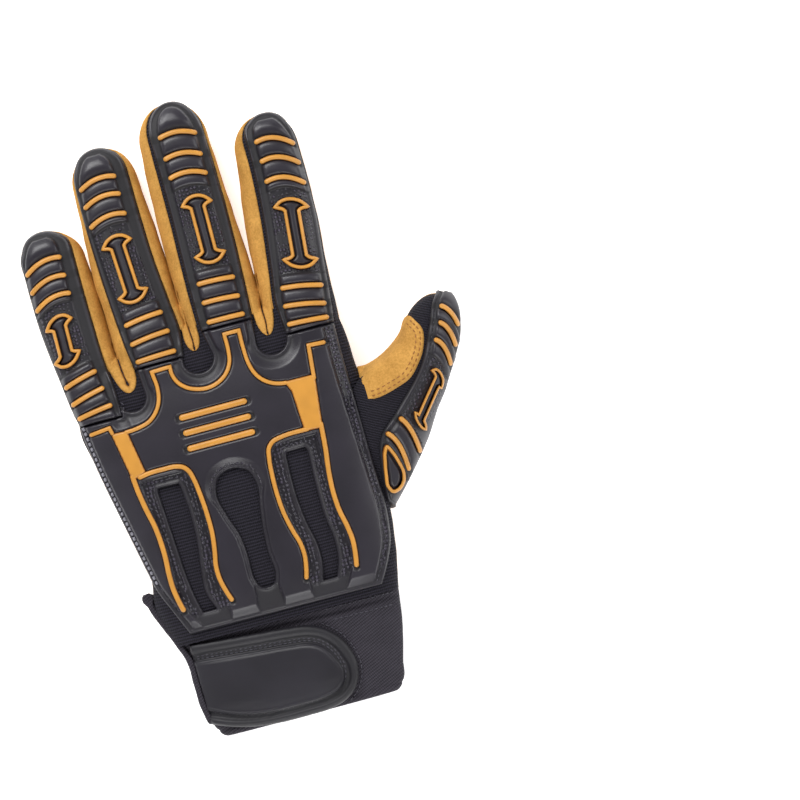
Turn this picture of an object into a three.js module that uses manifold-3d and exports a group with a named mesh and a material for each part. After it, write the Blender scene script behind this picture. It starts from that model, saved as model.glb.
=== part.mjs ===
// Impact resistant work glove, left hand, lying palm down.
// Millimetres. +Y runs along the hand to the fingertips, +X to the thumb side, +Z up from the back.
import * as THREE from "three";
import { mergeVertices } from "three/addons/utils/BufferGeometryUtils.js";
import Module from "manifold-3d";

const wasm = await Module();
wasm.setup();

// Driving sizes
const GAP = 0.3; // clearance between neighbouring pieces
const WALL = 1.6; // thickness of the suede and knit walls
const CUFF_WALL = 1.8;
const SEAM_HEIGHT = 8; // height of the side seam between palm and back
const PAD_THICKNESS = 1.6; // sewn-on padding under the palm
const WRIST_Y = -77.4; // where the hand ends and the cuff begins
const CUFF_END_Y = -119.5;
const FLANGE = 1.3; // thin stitched edge of a guard
const DECK = 3.2; // raised middle of a guard
const GROOVE = 2.2; // floor of the grooves that hold the orange bars
const RECESS = 1.9; // floor of the textured recess of a finger guard
const BAR_TOP = 3.9; // top of the orange bars
const BAR_WIDTH = 2.0;
const LINE_HEIGHT = 0.9; // the orange lines and bars on the hand guard
const HAND_GUARD_LIFT = GAP + 0.4; // underside of the hand guard over the crown
const LINE_LOW = HAND_GUARD_LIFT + DECK + GAP;
const SIDES = 10; // sides of a lofted section, and of the hollow in it
const HOLLOW_SIDES = 8;
const TIP_POWER = 2.1; // roundness of a fingertip in plan
const TOP_POWER = 2.5; // roundness of the upper half of a section
const UNDER_POWER = 4.5; // the lower half is flattened where it lies
const PALM_POWER = 3;

const COLOURS = {
  suede: 0xd6a254,
  knit: 0x1c1a24,
  rubber: 0x3e3a44,
  orange: 0xeeac4e,
  elastic: 0x322e34,
  strap: 0x302e36,
};

// Sections of the hand: y, left and right edge, underside and top.
const HAND = {
  power: PALM_POWER,
  from: WRIST_Y,
  tip: 46,
  round: 14,
  rows: [
    { y: -78, left: -50.5, right: 42, under: 3, top: 24 },
    { y: -60, left: -53, right: 45.2, under: 2, top: 26.5 },
    { y: -40, left: -56.5, right: 47.2, under: 2, top: 28 },
    { y: -20, left: -60.5, right: 48.2, under: 2, top: 28.5 },
    { y: 0, left: -64.3, right: 48.8, under: 2, top: 28.5 },
    { y: 20, left: -66, right: 48, under: 2, top: 27.5 },
    { y: 32, left: -56, right: 47, under: 2, top: 25 },
    { y: 46, left: -40, right: 44, under: 2, top: 22 },
  ],
};

// Sections of each finger, and the outline of its guard: edges of the flange and of the raised deck.
// tipBars, rootBars: y of the orange bars on the centre line. lean, bow: how far a bar's right end
// and its middle lie above its left end. bone: the bone-shaped ring of the recess.
const FINGERS = {
  little: {
    power: TOP_POWER,
    from: 12,
    tip: 100.6,
    round: 12,
    rows: [
      { y: 12, left: -62, right: -48, under: 5, top: 22 },
      { y: 22, left: -67.6, right: -46.4, under: 2, top: 24.2 },
      { y: 40, left: -70.4, right: -45.6, under: 2, top: 23 },
      { y: 60, left: -72.9, right: -46.5, under: 2, top: 21.4 },
      { y: 75, left: -73.8, right: -47.1, under: 1.5, top: 20.4 },
      { y: 90, left: -74.2, right: -48.5, under: 1.2, top: 19.2 },
      { y: 101, left: -74.2, right: -50, under: 1, top: 18.4 },
    ],
    guard: [
      { y: 19, left: -67.6, deckLeft: -66.6, deckRight: -50.6, right: -48.4 },
      { y: 30, left: -69.3, deckLeft: -68.3, deckRight: -52.9, right: -49 },
      { y: 40, left: -71, deckLeft: -70, deckRight: -54.6, right: -50.3 },
      { y: 60, left: -73.3, deckLeft: -72.2, deckRight: -56, right: -51.2 },
      { y: 101, left: -74.4, deckLeft: -73.3, deckRight: -56.4, right: -51.7 },
    ],
    guardTip: 100.4,
    tipBars: [88.4, 80.7, 73],
    tipLean: 2.1,
    tipBow: 2.1,
    rootBars: [38.2, 30.8, 23.8],
    rootLean: 1.7,
    rootBow: 0.3,
    bone: { top: 65.6, bottom: 45.2, topX: -63.8, bottomX: -62.9, lean: 1.5 },
    knitBorder: 0,
  },
  ring: {
    power: TOP_POWER,
    from: 22,
    tip: 128,
    round: 13,
    rows: [
      { y: 22, left: -42, right: -17, under: 5, top: 24.5 },
      { y: 36, left: -44.6, right: -14.6, under: 2, top: 26.6 },
      { y: 60, left: -45.4, right: -15.6, under: 2, top: 24 },
      { y: 75, left: -46.3, right: -16, under: 1.6, top: 22.6 },
      { y: 90, left: -45.8, right: -17, under: 1.3, top: 21.5 },
      { y: 118, left: -44.6, right: -19.2, under: 1, top: 19.8 },
      { y: 129, left: -44, right: -19.8, under: 1, top: 19.2 },
    ],
    guard: [
      { y: 36, left: -39, deckLeft: -37.6, deckRight: -20.4, right: -18.2 },
      { y: 45, left: -40.4, deckLeft: -38, deckRight: -20.9, right: -17.2 },
      { y: 60, left: -41.9, deckLeft: -38.9, deckRight: -22.4, right: -18.6 },
      { y: 80, left: -43.2, deckLeft: -41, deckRight: -24.8, right: -20.5 },
      { y: 100, left: -44, deckLeft: -42.2, deckRight: -26, right: -21.2 },
      { y: 129, left: -43.8, deckLeft: -42, deckRight: -26, right: -21.7 },
    ],
    guardTip: 127.8,
    tipBars: [115.5, 107.7, 99.4],
    tipLean: 1.2,
    tipBow: 2,
    rootBars: [55.8, 47.6, 39.4],
    rootLean: 1,
    rootBow: 0.4,
    bone: { top: 91.2, bottom: 63.2, topX: -33.2, bottomX: -31.4, lean: 0.6 },
    knitBorder: 0,
  },
  middle: {
    power: TOP_POWER,
    from: 26,
    tip: 138.8,
    round: 15,
    rows: [
      { y: 26, left: -11, right: 14.5, under: 5, top: 24.5 },
      { y: 42, left: -13.8, right: 16.8, under: 2, top: 26.6 },
      { y: 62, left: -14.9, right: 17.3, under: 2, top: 24.8 },
      { y: 90, left: -14.9, right: 15.6, under: 1.4, top: 22.4 },
      { y: 110, left: -14.5, right: 14.5, under: 1.1, top: 21.1 },
      { y: 125, left: -13.6, right: 13.6, under: 1, top: 20.4 },
      { y: 139, left: -13, right: 13.4, under: 1, top: 20 },
    ],
    guard: [
      { y: 44, left: -8.8, deckLeft: -5.5, deckRight: 10.4, right: 12.8 },
      { y: 60, left: -9, deckLeft: -5.5, deckRight: 10.4, right: 13.4 },
      { y: 90, left: -8.6, deckLeft: -5.5, deckRight: 10.4, right: 14 },
      { y: 139, left: -9, deckLeft: -5.5, deckRight: 10.4, right: 12.6 },
    ],
    guardTip: 138.5,
    tipBars: [125.8, 116.8, 108.6],
    tipLean: -0.7,
    tipBow: 1.8,
    rootBars: [63.2, 55.2, 47.2],
    rootLean: -0.35,
    rootBow: 0.3,
    bone: { top: 98.6, bottom: 70.8, topX: 3, bottomX: 3, lean: -0.2 },
    knitBorder: 1.3,
  },
  index: {
    power: TOP_POWER,
    from: 18,
    tip: 124.4,
    round: 12,
    rows: [
      { y: 18, left: 20, right: 45, under: 5, top: 23.5 },
      { y: 34, left: 17.7, right: 46.9, under: 2, top: 25.9 },
      { y: 60, left: 18.4, right: 48, under: 2, top: 23.8 },
      { y: 80, left: 19.6, right: 49.4, under: 1.5, top: 21.9 },
      { y: 100, left: 22.2, right: 49.6, under: 1.1, top: 20.6 },
      { y: 125, left: 25.2, right: 48.6, under: 1, top: 19.4 },
    ],
    guard: [
      { y: 34, left: 24.6, deckLeft: 25.8, deckRight: 43, right: 44.8 },
      { y: 45, left: 23.6, deckLeft: 26.4, deckRight: 43.8, right: 45.9 },
      { y: 60, left: 25.4, deckLeft: 28.3, deckRight: 45.4, right: 47.2 },
      { y: 80, left: 27.7, deckLeft: 31, deckRight: 47.6, right: 49 },
      { y: 100, left: 28.9, deckLeft: 32.3, deckRight: 48.2, right: 49.2 },
      { y: 125, left: 28.6, deckLeft: 31.6, deckRight: 47.4, right: 48.6 },
    ],
    guardTip: 124.1,
    tipBars: [113, 104.7, 96.2],
    tipLean: -2.1,
    tipBow: 2.5,
    rootBars: [51.6, 44.2, 37.6],
    rootLean: -1.5,
    rootBow: 0.5,
    bone: { top: 87.4, bottom: 59.2, topX: 40.2, bottomX: 38, lean: -1.4 },
    knitBorder: 1.3,
  },
};

// The thumb runs from its root beside the hand at an angle to the fingers. A section is an ellipse
// turned by tilt, so that the back of the thumb faces outward. along: distance from the root;
// left, right: its edges seen from above, measured across the thumb.
const THUMB = {
  rootX: 50,
  rootY: -45,
  angle: 28.5,
  depth: 21,
  under: 1.2,
  tip: 88.2,
  round: 18,
  rows: [
    { along: -8, left: -21, right: -4, tilt: 12 },
    { along: 6, left: -22, right: 0, tilt: 22 },
    { along: 18, left: -25, right: 2.8, tilt: 28 },
    { along: 30, left: -27, right: 5, tilt: 32 },
    { along: 43, left: -28, right: 6, tilt: 34 },
    { along: 50.5, left: -24.6, right: 7.2, tilt: 36 },
    { along: 57, left: -19.8, right: 7.5, tilt: 42 },
    { along: 61, left: -17.4, right: 7.8, tilt: 46 },
    { along: 66, left: -15, right: 8, tilt: 50 },
    { along: 73, left: -14.5, right: 8, tilt: 52 },
    { along: 89, left: -13.8, right: 7.6, tilt: 52 },
  ],
  // Guard of the thumb: inner is the edge of its flange seen from above.
  guard: [
    { along: 2, inner: -4.8 },
    { along: 12, inner: -9.2 },
    { along: 25, inner: -12.6 },
    { along: 37, inner: -8.9 },
    { along: 58, inner: -3.6 },
    { along: 76, inner: -4.2 },
    { along: 88, inner: -5 },
  ],
  // Orange bars: where each starts on the inner flange.
  tipBars: [83, 76.4, 69.3],
  rootBars: [35.4, 28.2],
};

// Plain helpers

function mix(rows, key, at) {
  const last = rows.length - 1;
  let i = 1;
  while (i < last && rows[i][key] < at) {
    i += 1;
  }
  const a = rows[i - 1];
  const b = rows[i];
  const f = THREE.MathUtils.clamp((at - a[key]) / (b[key] - a[key]), 0, 1);
  return Object.fromEntries(Object.keys(a).map((name) => [name, a[name] + (b[name] - a[name]) * f]));
}

function tipShrink(tip, round, at) {
  const s = THREE.MathUtils.clamp((at - tip + round) / round, 0, 1);
  return (1 - s ** TIP_POWER) ** (1 / TIP_POWER);
}

function signedPower(value, power) {
  return Math.sign(value) * Math.abs(value) ** power;
}

function toManifold(positions, indices) {
  const vertProperties = Float32Array.from(positions);
  const triVerts = Uint32Array.from(indices);
  return new wasm.Manifold(new wasm.Mesh({ numProp: 3, vertProperties, triVerts }));
}

function fromGeometry(geometry) {
  const bare = geometry.clone();
  bare.deleteAttribute("normal");
  bare.deleteAttribute("uv");
  const merged = mergeVertices(bare, 1e-4);
  return toManifold(merged.attributes.position.array, merged.index.array);
}

function toGeometry(solid) {
  const mesh = solid.getMesh();
  const geometry = new THREE.BufferGeometry();
  geometry.setAttribute("position", new THREE.BufferAttribute(mesh.vertProperties, 3));
  geometry.setIndex(new THREE.BufferAttribute(mesh.triVerts, 1));
  geometry.computeVertexNormals();
  return geometry;
}

// The largest connected part of a solid, without the crumbs that a cut may leave.
function largest(solid) {
  const parts = solid.decompose();
  parts.sort((a, b) => b.volume() - a.volume());
  return parts[0];
}

function prism(shape, low, high) {
  const geometry = new THREE.ExtrudeGeometry(shape, { depth: high - low, bevelEnabled: false, curveSegments: 3 });
  geometry.translate(0, 0, low);
  return fromGeometry(geometry);
}

function polygon(points) {
  return new THREE.Shape(points.map(([x, y]) => new THREE.Vector2(x, y)));
}

// A closed tube through rings of points, with a fan to one point at each end.
function loft(rings, startPoint, endPoint) {
  const count = rings[0].length;
  const positions = [...rings.flat(), startPoint, endPoint].flatMap((p) => [p.x, p.y, p.z]);
  const start = rings.length * count;
  const indices = [];
  for (let j = 0; j < count; j += 1) {
    const k = (j + 1) % count;
    indices.push(start, k, j);
    const base = (rings.length - 1) * count;
    indices.push(start + 1, base + j, base + k);
    for (let i = 0; i + 1 < rings.length; i += 1) {
      const a = i * count + j;
      const b = i * count + k;
      indices.push(a, b, b + count, a, b + count, a + count);
    }
  }
  return toManifold(positions, indices);
}

// A closed plate between two grids of points of the same size. Rows run along +Y, columns along +X.
function plate(upper, lower) {
  const rows = upper.length;
  const columns = upper[0].length;
  const positions = [...upper.flat(), ...lower.flat()].flatMap((p) => [p.x, p.y, p.z]);
  const under = rows * columns;
  const indices = [];
  const wall = (a, b) => indices.push(a, a + under, b + under, a, b + under, b);
  for (let i = 0; i + 1 < rows; i += 1) {
    for (let j = 0; j + 1 < columns; j += 1) {
      const a = i * columns + j;
      const c = a + columns;
      indices.push(a, a + 1, c + 1, a, c + 1, c);
      indices.push(a + under, c + 1 + under, a + 1 + under, a + under, c + under, c + 1 + under);
    }
    wall((i + 1) * columns, i * columns);
    wall((i + 1) * columns - 1, (i + 2) * columns - 1);
  }
  for (let j = 0; j + 1 < columns; j += 1) {
    wall(j, j + 1);
    wall(under - columns + j + 1, under - columns + j);
  }
  return toManifold(positions, indices);
}

// Form of the hand and fingers

function sectionAt(limb, y, inset) {
  const row = mix(limb.rows, "y", y);
  const shrink = tipShrink(limb.tip - inset, limb.round - inset, y);
  return {
    centreX: (row.left + row.right) / 2,
    centreZ: (row.under + row.top) / 2,
    halfWidth: ((row.right - row.left) / 2 - inset) * shrink,
    halfHeight: ((row.top - row.under) / 2 - inset) * shrink,
  };
}

function sectionRing(limb, y, inset) {
  const s = sectionAt(limb, y, inset);
  const sides = inset > 0 ? HOLLOW_SIDES : SIDES;
  return Array.from({ length: sides }, (_, i) => {
    const angle = (2 * Math.PI * (i + 0.5)) / sides;
    const power = 2 / (angle < Math.PI ? limb.power : UNDER_POWER);
    const x = s.centreX + s.halfWidth * signedPower(Math.cos(angle), power);
    const z = s.centreZ + s.halfHeight * signedPower(Math.sin(angle), power);
    return new THREE.Vector3(x, y, z);
  });
}

function limbSolid(limb, inset, step, from) {
  const tip = limb.tip - inset;
  const round = limb.round - inset;
  const straight = tip - round;
  const second = limb.rows[1].y;
  const count = Math.ceil((straight - second) / step);
  const stations = [from];
  for (let i = 0; i < count; i += 1) {
    stations.push(second + ((straight - second) * i) / count);
  }
  [0, 0.6, 0.92].forEach((s) => stations.push(straight + s * round));
  const rings = stations.map((y) => sectionRing(limb, y, inset).reverse());
  const first = sectionAt(limb, from, inset);
  const last = sectionAt(limb, tip, inset);
  const startPoint = new THREE.Vector3(first.centreX, from, first.centreZ);
  return loft(rings, startPoint, new THREE.Vector3(last.centreX, tip, last.centreZ));
}

// Height of the upper surface of a limb over a point, falling off steeply past its edge.
function topOf(limb, x, y) {
  const edge = 0.98;
  const s = sectionAt(limb, y, 0);
  const out = Math.abs(x - s.centreX) / Math.max(s.halfWidth, 1);
  const within = Math.min(out, edge);
  const height = s.centreZ + s.halfHeight * (1 - within ** limb.power) ** (1 / limb.power);
  return height - Math.max(out - edge, 0) * s.halfWidth * 3;
}

// A point at a height over a surface, measured square to it.
function over(surface, x, y, height) {
  const d = 0.5;
  const z = surface(x, y);
  const slopeX = THREE.MathUtils.clamp((surface(x + d, y) - surface(x - d, y)) / (2 * d), -2, 2);
  const slopeY = THREE.MathUtils.clamp((surface(x, y + d) - surface(x, y - d)) / (2 * d), -2, 2);
  const normal = new THREE.Vector3(-slopeX, -slopeY, 1).normalize();
  return new THREE.Vector3(x, y, z).addScaledVector(normal, height);
}

// Form of the thumb

const thumbAngle = THREE.MathUtils.degToRad(THUMB.angle);
const thumbAxis = new THREE.Vector3(Math.sin(thumbAngle), Math.cos(thumbAngle), 0);
const thumbAcross = new THREE.Vector3(Math.cos(thumbAngle), -Math.sin(thumbAngle), 0);

function thumbSection(along, inset) {
  const row = mix(THUMB.rows, "along", along);
  const shrink = tipShrink(THUMB.tip - inset, THUMB.round - inset, along);
  const tilt = THREE.MathUtils.degToRad(row.tilt);
  const b = THUMB.depth / 2;
  const half = (row.right - row.left) / 2;
  const a = Math.sqrt(Math.max(half ** 2 - (b * Math.sin(tilt)) ** 2, 1)) / Math.cos(tilt);
  const rise = Math.hypot(a * Math.sin(tilt), b * Math.cos(tilt));
  return {
    centre: (row.left + row.right) / 2,
    centreZ: THUMB.under + rise,
    a: (a - inset) * shrink,
    b: (b - inset) * shrink,
    tilt,
  };
}

// A point of the thumb's surface. turn is 0 at the outer silhouette seen from above and grows
// over the back of the thumb to the inner silhouette.
function thumbPoint(along, turn, height, inset = 0) {
  const s = thumbSection(along, inset);
  const start = Math.atan2(s.b * Math.sin(s.tilt), s.a * Math.cos(s.tilt));
  const angle = start + turn;
  const local = new THREE.Vector2(s.a * Math.cos(angle), s.b * Math.sin(angle));
  const normal = new THREE.Vector2(Math.cos(angle) / s.a, Math.sin(angle) / s.b).normalize();
  local.addScaledVector(normal, height);
  const across = s.centre + local.x * Math.cos(s.tilt) + local.y * Math.sin(s.tilt);
  const z = s.centreZ - local.x * Math.sin(s.tilt) + local.y * Math.cos(s.tilt);
  return new THREE.Vector3(THUMB.rootX, THUMB.rootY, z)
    .addScaledVector(thumbAxis, along)
    .addScaledVector(thumbAcross, across);
}

// The turn at which the thumb's surface lies at a distance across, seen from above.
function thumbTurn(along, across) {
  const s = thumbSection(along, 0);
  const half = Math.hypot(s.a * Math.cos(s.tilt), s.b * Math.sin(s.tilt));
  return Math.acos(THREE.MathUtils.clamp((across - s.centre) / half, -1, 1));
}

function thumbSolid(inset) {
  const tip = THUMB.tip - inset;
  const round = THUMB.round - inset;
  const sides = inset > 0 ? HOLLOW_SIDES : SIDES;
  const stations = [-8, 8, 24, 40, 50.5, 58, 65];
  [0.1, 0.5, 0.8, 0.96].forEach((s) => stations.push(tip - round + s * round));
  const rings = stations.map((along) =>
    Array.from({ length: sides }, (_, i) => thumbPoint(along, (2 * Math.PI * i) / sides, 0, inset)).reverse()
  );
  const middle = (along) => {
    const s = thumbSection(along, inset);
    return new THREE.Vector3(THUMB.rootX, THUMB.rootY, s.centreZ)
      .addScaledVector(thumbAxis, along)
      .addScaledVector(thumbAcross, s.centre);
  };
  return loft(rings, middle(stations[0]), middle(tip));
}

// The hollow form: a union of the hand, the fingers and the thumb
function handForm(inset, from) {
  let form = limbSolid(HAND, inset, 35, from);
  for (const finger of Object.values(FINGERS)) {
    form = form.add(limbSolid(finger, inset, 36, finger.from));
  }
  return form.add(thumbSolid(inset));
}

const outerForm = handForm(0, WRIST_Y);
const shell = outerForm.subtract(handForm(WALL, WRIST_Y - 1));

// Cutting the hollow form into its sewn panels

const LOW = -5;
const HIGH = 60;

// Seam between the palm and the thumb, from the crotch down to the wrist.
const THUMB_SEAM = [
  [53, 46],
  [51, 12],
  [46.5, 3],
  [44.5, -20],
  [41.5, -40],
  [36, -57],
  [31.5, -80],
];

function thumbZone(gap) {
  const edge = THUMB_SEAM.map(([x, y]) => [x + gap, y]);
  return prism(polygon([...edge, [110, -80], [110, 46]]), LOW, HIGH);
}

// The side of a finger's back that is suede: where the fourchette meets the knit, on one side.
function fourchetteEdge(finger, side, y) {
  const form = mix(finger.rows, "y", y);
  const guard = mix(finger.guard, "y", y);
  const wallRoom = WALL + 0.8;
  if (side === "right") {
    return Math.min(form.right - wallRoom, guard.right);
  }
  return Math.max(form.left + wallRoom, guard.left - finger.knitBorder);
}

// Plan of a fourchette: the space between the backs of two fingers, ending in a round tongue.
function fourchetteZone(left, right, tongueX, tongueY, spread) {
  const from = tongueY + 9;
  const count = 6;
  const leftTop = left.tip + 4;
  const rightTop = right.tip + 4;
  const points = [[tongueX, tongueY - spread]];
  points.push([tongueX + 3 + spread, tongueY + 1.2]);
  for (let i = 0; i <= count; i += 1) {
    const y = from + ((rightTop - from) * i) / count;
    points.push([fourchetteEdge(right, "left", y) + spread, y]);
  }
  points.push([fourchetteEdge(left, "right", leftTop) - spread, Math.max(leftTop, rightTop)]);
  for (let i = count; i >= 0; i -= 1) {
    const y = from + ((leftTop - from) * i) / count;
    points.push([fourchetteEdge(left, "right", y) - spread, y]);
  }
  points.push([tongueX - 3 - spread, tongueY + 1.2]);
  return prism(polygon(points), LOW, HIGH);
}

const { little, ring, middle, index } = FINGERS;
const TONGUES = [
  { name: "fourchette_little_ring", left: little, right: ring, x: -43.4, y: 27.6 },
  { name: "fourchette_ring_middle", left: ring, right: middle, x: -13.3, y: 37.4 },
  { name: "fourchette_middle_index", left: middle, right: index, x: 17.6, y: 35.8 },
];

function slab(low, high) {
  return prism(polygon([[-120, -130], [130, -130], [130, 170], [-120, 170]]), low, high);
}

// The back of the thumb lies above a slanted surface through the thumb's middle.
function thumbBackZone(gap) {
  const reach = 45;
  const stations = [-34, 0, 25, 50, 70, 95];
  const rings = stations.map((along) => {
    const s = thumbSection(along, 0);
    const slope = Math.tan(s.tilt * THREE.MathUtils.clamp((along + 34) / 60, 0, 1));
    const base = new THREE.Vector3(THUMB.rootX, THUMB.rootY, 0).addScaledVector(thumbAxis, along);
    const corner = (across, z) =>
      base.clone().addScaledVector(thumbAcross, s.centre + across).setZ(z);
    const middleZ = THREE.MathUtils.lerp(SEAM_HEIGHT, s.centreZ, THREE.MathUtils.clamp((along + 34) / 60, 0, 1));
    return [
      corner(-reach, middleZ + reach * slope + gap),
      corner(-reach, 140),
      corner(reach, 140),
      corner(reach, middleZ - reach * slope + gap),
    ];
  });
  const centre = (ringPoints) =>
    ringPoints.reduce((sum, p) => sum.add(p), new THREE.Vector3()).multiplyScalar(0.25);
  return loft(rings, centre(rings[0]), centre(rings.at(-1)));
}

const thumbShell = shell.intersect(thumbZone(GAP / 2));
const handShell = shell.subtract(thumbZone(-GAP / 2));
const upperShell = handShell.intersect(slab(SEAM_HEIGHT + GAP / 2, HIGH));
const palmPanel = handShell.intersect(slab(LOW, SEAM_HEIGHT - GAP / 2));
let backPanel = upperShell;
const fourchettes = TONGUES.map((t) => {
  backPanel = backPanel.subtract(fourchetteZone(t.left, t.right, t.x, t.y, GAP));
  return largest(upperShell.intersect(fourchetteZone(t.left, t.right, t.x, t.y, 0)));
});
backPanel = largest(backPanel);
const thumbBack = largest(thumbShell.intersect(thumbBackZone(GAP / 2)));
const thumbFront = largest(thumbShell.subtract(thumbBackZone(-GAP / 2)));

// Surfaces that the guards lie on

function smoothMax(a, b, blend) {
  const near = Math.max(blend - Math.abs(a - b), 0) / blend;
  return Math.max(a, b) + (near * near * blend) / 4;
}

function limbTop(limb, x, y) {
  return y < limb.from || y > limb.tip + 1 ? LOW : topOf(limb, x, y);
}

function fingerSurface(finger) {
  return (x, y) => smoothMax(limbTop(HAND, x, y), limbTop(finger, x, y), 2);
}

function thumbTop(x, y) {
  const from = new THREE.Vector3(x - THUMB.rootX, y - THUMB.rootY, 0);
  const along = from.dot(thumbAxis);
  const across = from.dot(thumbAcross);
  const s = thumbSection(along, 0);
  const half = Math.hypot(s.a * Math.cos(s.tilt), s.b * Math.sin(s.tilt));
  const inside = along > -8 && Math.abs(across - s.centre) < half;
  return inside ? thumbPoint(along, thumbTurn(along, across), 0).z : LOW;
}

// The smooth crown under the hand guard: over the hand, the roots of the fingers and of the thumb.
const CROWN = {
  power: PALM_POWER,
  from: -90,
  tip: 1000,
  round: 1,
  rows: [
    { y: -78, left: -51, right: 44, under: 2, top: 24.4 },
    { y: -60, left: -54, right: 47, under: 2, top: 26.9 },
    { y: -40, left: -57.3, right: 48.4, under: 2, top: 28.4 },
    { y: -20, left: -61.2, right: 49, under: 2, top: 28.9 },
    { y: 0, left: -65, right: 49.4, under: 2, top: 28.9 },
    { y: 18, left: -68, right: 48.6, under: 2, top: 28.4 },
    { y: 30, left: -69.6, right: 48.4, under: 2, top: 27.8 },
    { y: 46, left: -71.4, right: 48.4, under: 2, top: 26.4 },
  ],
};

function backSurface(x, y) {
  const crown = smoothMax(topOf(CROWN, x, y), thumbTop(x, y), 3);
  return Object.values(FINGERS).reduce((z, f) => smoothMax(z, limbTop(f, x, y), 3), crown);
}

// A plate over a limb, between two heights over a surface. Columns are fractions of the half width.
function limbPlate(limb, surface, columns, rows, low, high) {
  const grid = (height) =>
    rows.map((y) => {
      const s = sectionAt(limb, y, 0);
      return columns.map((u) => over(surface, s.centreX + u * s.halfWidth, y, height));
    });
  return plate(grid(high), grid(low));
}

// Finger guards

const TIP_RISE = 2.3; // height of the deck at the fingertip
const ROOT_ROOM = 0.8; // between the hand guard's outline and a finger guard
// Columns of a deck and of a bar, as fractions of the deck's width
const DECK_COLUMNS = [0, 0.25, 0.75, 1];
const BAR_COLUMNS = [0.04, 0.25, 0.75, 0.96];
// How far out each column of a guard may lie, as a share of the finger's half width
const COLUMN_REACH = [0.97, 0.93, 0.87, 0.87, 0.93, 0.97];
const BAR_REACH = 0.91;

// Rows of a finger guard: y on the centre line and height of the deck there. A ridge stands between
// two bars, a groove under each bar, and the recess lies between the root bars and the tip bars.
function guardRows(finger) {
  const rows = [{ y: finger.guard[0].y + ROOT_ROOM, height: FLANGE }];
  const ridges = (bars) => {
    const pitch = (bars[0] - bars[2]) / 2;
    rows.push({ y: Math.max(bars[2] - 2.2, rows[0].y + 0.6), height: DECK });
    for (const y of bars.slice().reverse()) {
      rows.push({ y, height: GROOVE });
      rows.push({ y: y + pitch / 2, height: DECK });
    }
  };
  ridges(finger.rootBars);
  rows.push({ y: finger.bone.bottom - 1.6, height: RECESS });
  rows.push({ y: finger.bone.top + 1.6, height: RECESS });
  ridges(finger.tipBars);
  rows.push({ y: finger.guardTip - 5.5, height: TIP_RISE });
  rows.push({ y: finger.guardTip - 2.4, height: TIP_RISE - 0.5 });
  rows.push({ y: finger.guardTip - 0.6, height: FLANGE });
  return rows;
}

// How far a bar lies above a straight line across the finger. u runs from -1 to 1 across it.
function bend(finger, y, u) {
  const rootEnd = finger.bone.bottom;
  const tipStart = finger.bone.top;
  const f = THREE.MathUtils.smoothstep(y, rootEnd, tipStart);
  const atTip = THREE.MathUtils.smoothstep(finger.guardTip - y, 2, 9);
  const atRoot = THREE.MathUtils.clamp((y - finger.guard[0].y - ROOT_ROOM) / 6, 0, 1);
  const lean = THREE.MathUtils.lerp(finger.rootLean, finger.tipLean, f);
  const bow = THREE.MathUtils.lerp(finger.rootBow, finger.tipBow, f);
  return (lean * u + bow * (1 - u * u)) * atTip * atRoot;
}

function fingerGuard(finger) {
  const surface = fingerSurface(finger);
  const rows = guardRows(finger);
  const grid = (under) =>
    rows.map(({ y, height }) => {
      const row = mix(finger.guard, "y", y);
      const shrink = tipShrink(finger.guardTip, finger.round, y);
      const centre = (row.left + row.right) / 2;
      const deck = DECK_COLUMNS.map((f) => THREE.MathUtils.lerp(row.deckLeft, row.deckRight, f));
      const columns = [row.left, ...deck, row.right];
      return columns.map((column, j) => {
        const x = withinFinger(finger, y, centre + (column - centre) * shrink, COLUMN_REACH[j]);
        const onDeck = j > 0 && j < columns.length - 1;
        const rise = under ? GAP + (onDeck ? 0.4 : 0.1) : onDeck ? height : FLANGE;
        const u = onDeck ? 2 * DECK_COLUMNS[j - 1] - 1 : Math.sign(j - 1);
        return over(surface, x, y + bend(finger, y, u), rise);
      });
    });
  return plate(grid(false), grid(true));
}

// Keeps a point of a guard on the finger's back, short of where its side falls away.
function withinFinger(finger, y, x, share) {
  const s = sectionAt(finger, y, 0);
  const reach = share * s.halfWidth;
  return THREE.MathUtils.clamp(x, s.centreX - reach, s.centreX + reach);
}

function fingerBar(finger, y) {
  const surface = fingerSurface(finger);
  const row = mix(finger.guard, "y", y);
  const grid = (height) =>
    [-BAR_WIDTH / 2, BAR_WIDTH / 2].map((side) =>
      BAR_COLUMNS.map((f) => {
        const x = withinFinger(finger, y, THREE.MathUtils.lerp(row.deckLeft, row.deckRight, f), BAR_REACH);
        return over(surface, x, y + bend(finger, y, 2 * f - 1) + side, height);
      })
    );
  return plate(grid(BAR_TOP), grid(GROOVE + 2 * GAP));
}

// The bone-shaped ring: two crescent ends joined by two stems, as an outline that goes round it.
const RING_LOW = RECESS + GAP + 0.5; // underside of a ring in a recess
const BONE_WIDTH = 1.5;
const BONE_END = 5.5; // half width of an end
const BONE_STEM = 2.7; // half width over the stems
const BONE_HOOK = 3.4; // how far the tips of an end hang back

function boneOutline(length) {
  const half = length / 2;
  const end = (sign) => [
    [sign * BONE_STEM, half - BONE_HOOK - 2.6],
    [sign * BONE_END, half - BONE_HOOK],
    [sign * BONE_END * 0.55, half - 0.9],
  ];
  const top = [...end(1), [0, half], ...end(-1).reverse()];
  return [...top, ...top.map(([x, y]) => [-x, -y])];
}

// Points of a closed outline moved outward by a distance.
function grow(points, distance) {
  const count = points.length;
  return points.map((p, i) => {
    const a = points[(i + count - 1) % count];
    const b = points[(i + 1) % count];
    const before = new THREE.Vector2(p[0] - a[0], p[1] - a[1]).normalize();
    const after = new THREE.Vector2(b[0] - p[0], b[1] - p[1]).normalize();
    const normal = new THREE.Vector2(before.y + after.y, -before.x - after.x).normalize();
    const reach = distance / Math.max(normal.dot(new THREE.Vector2(before.y, -before.x)), 0.5);
    return [p[0] + normal.x * reach, p[1] + normal.y * reach];
  });
}

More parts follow.
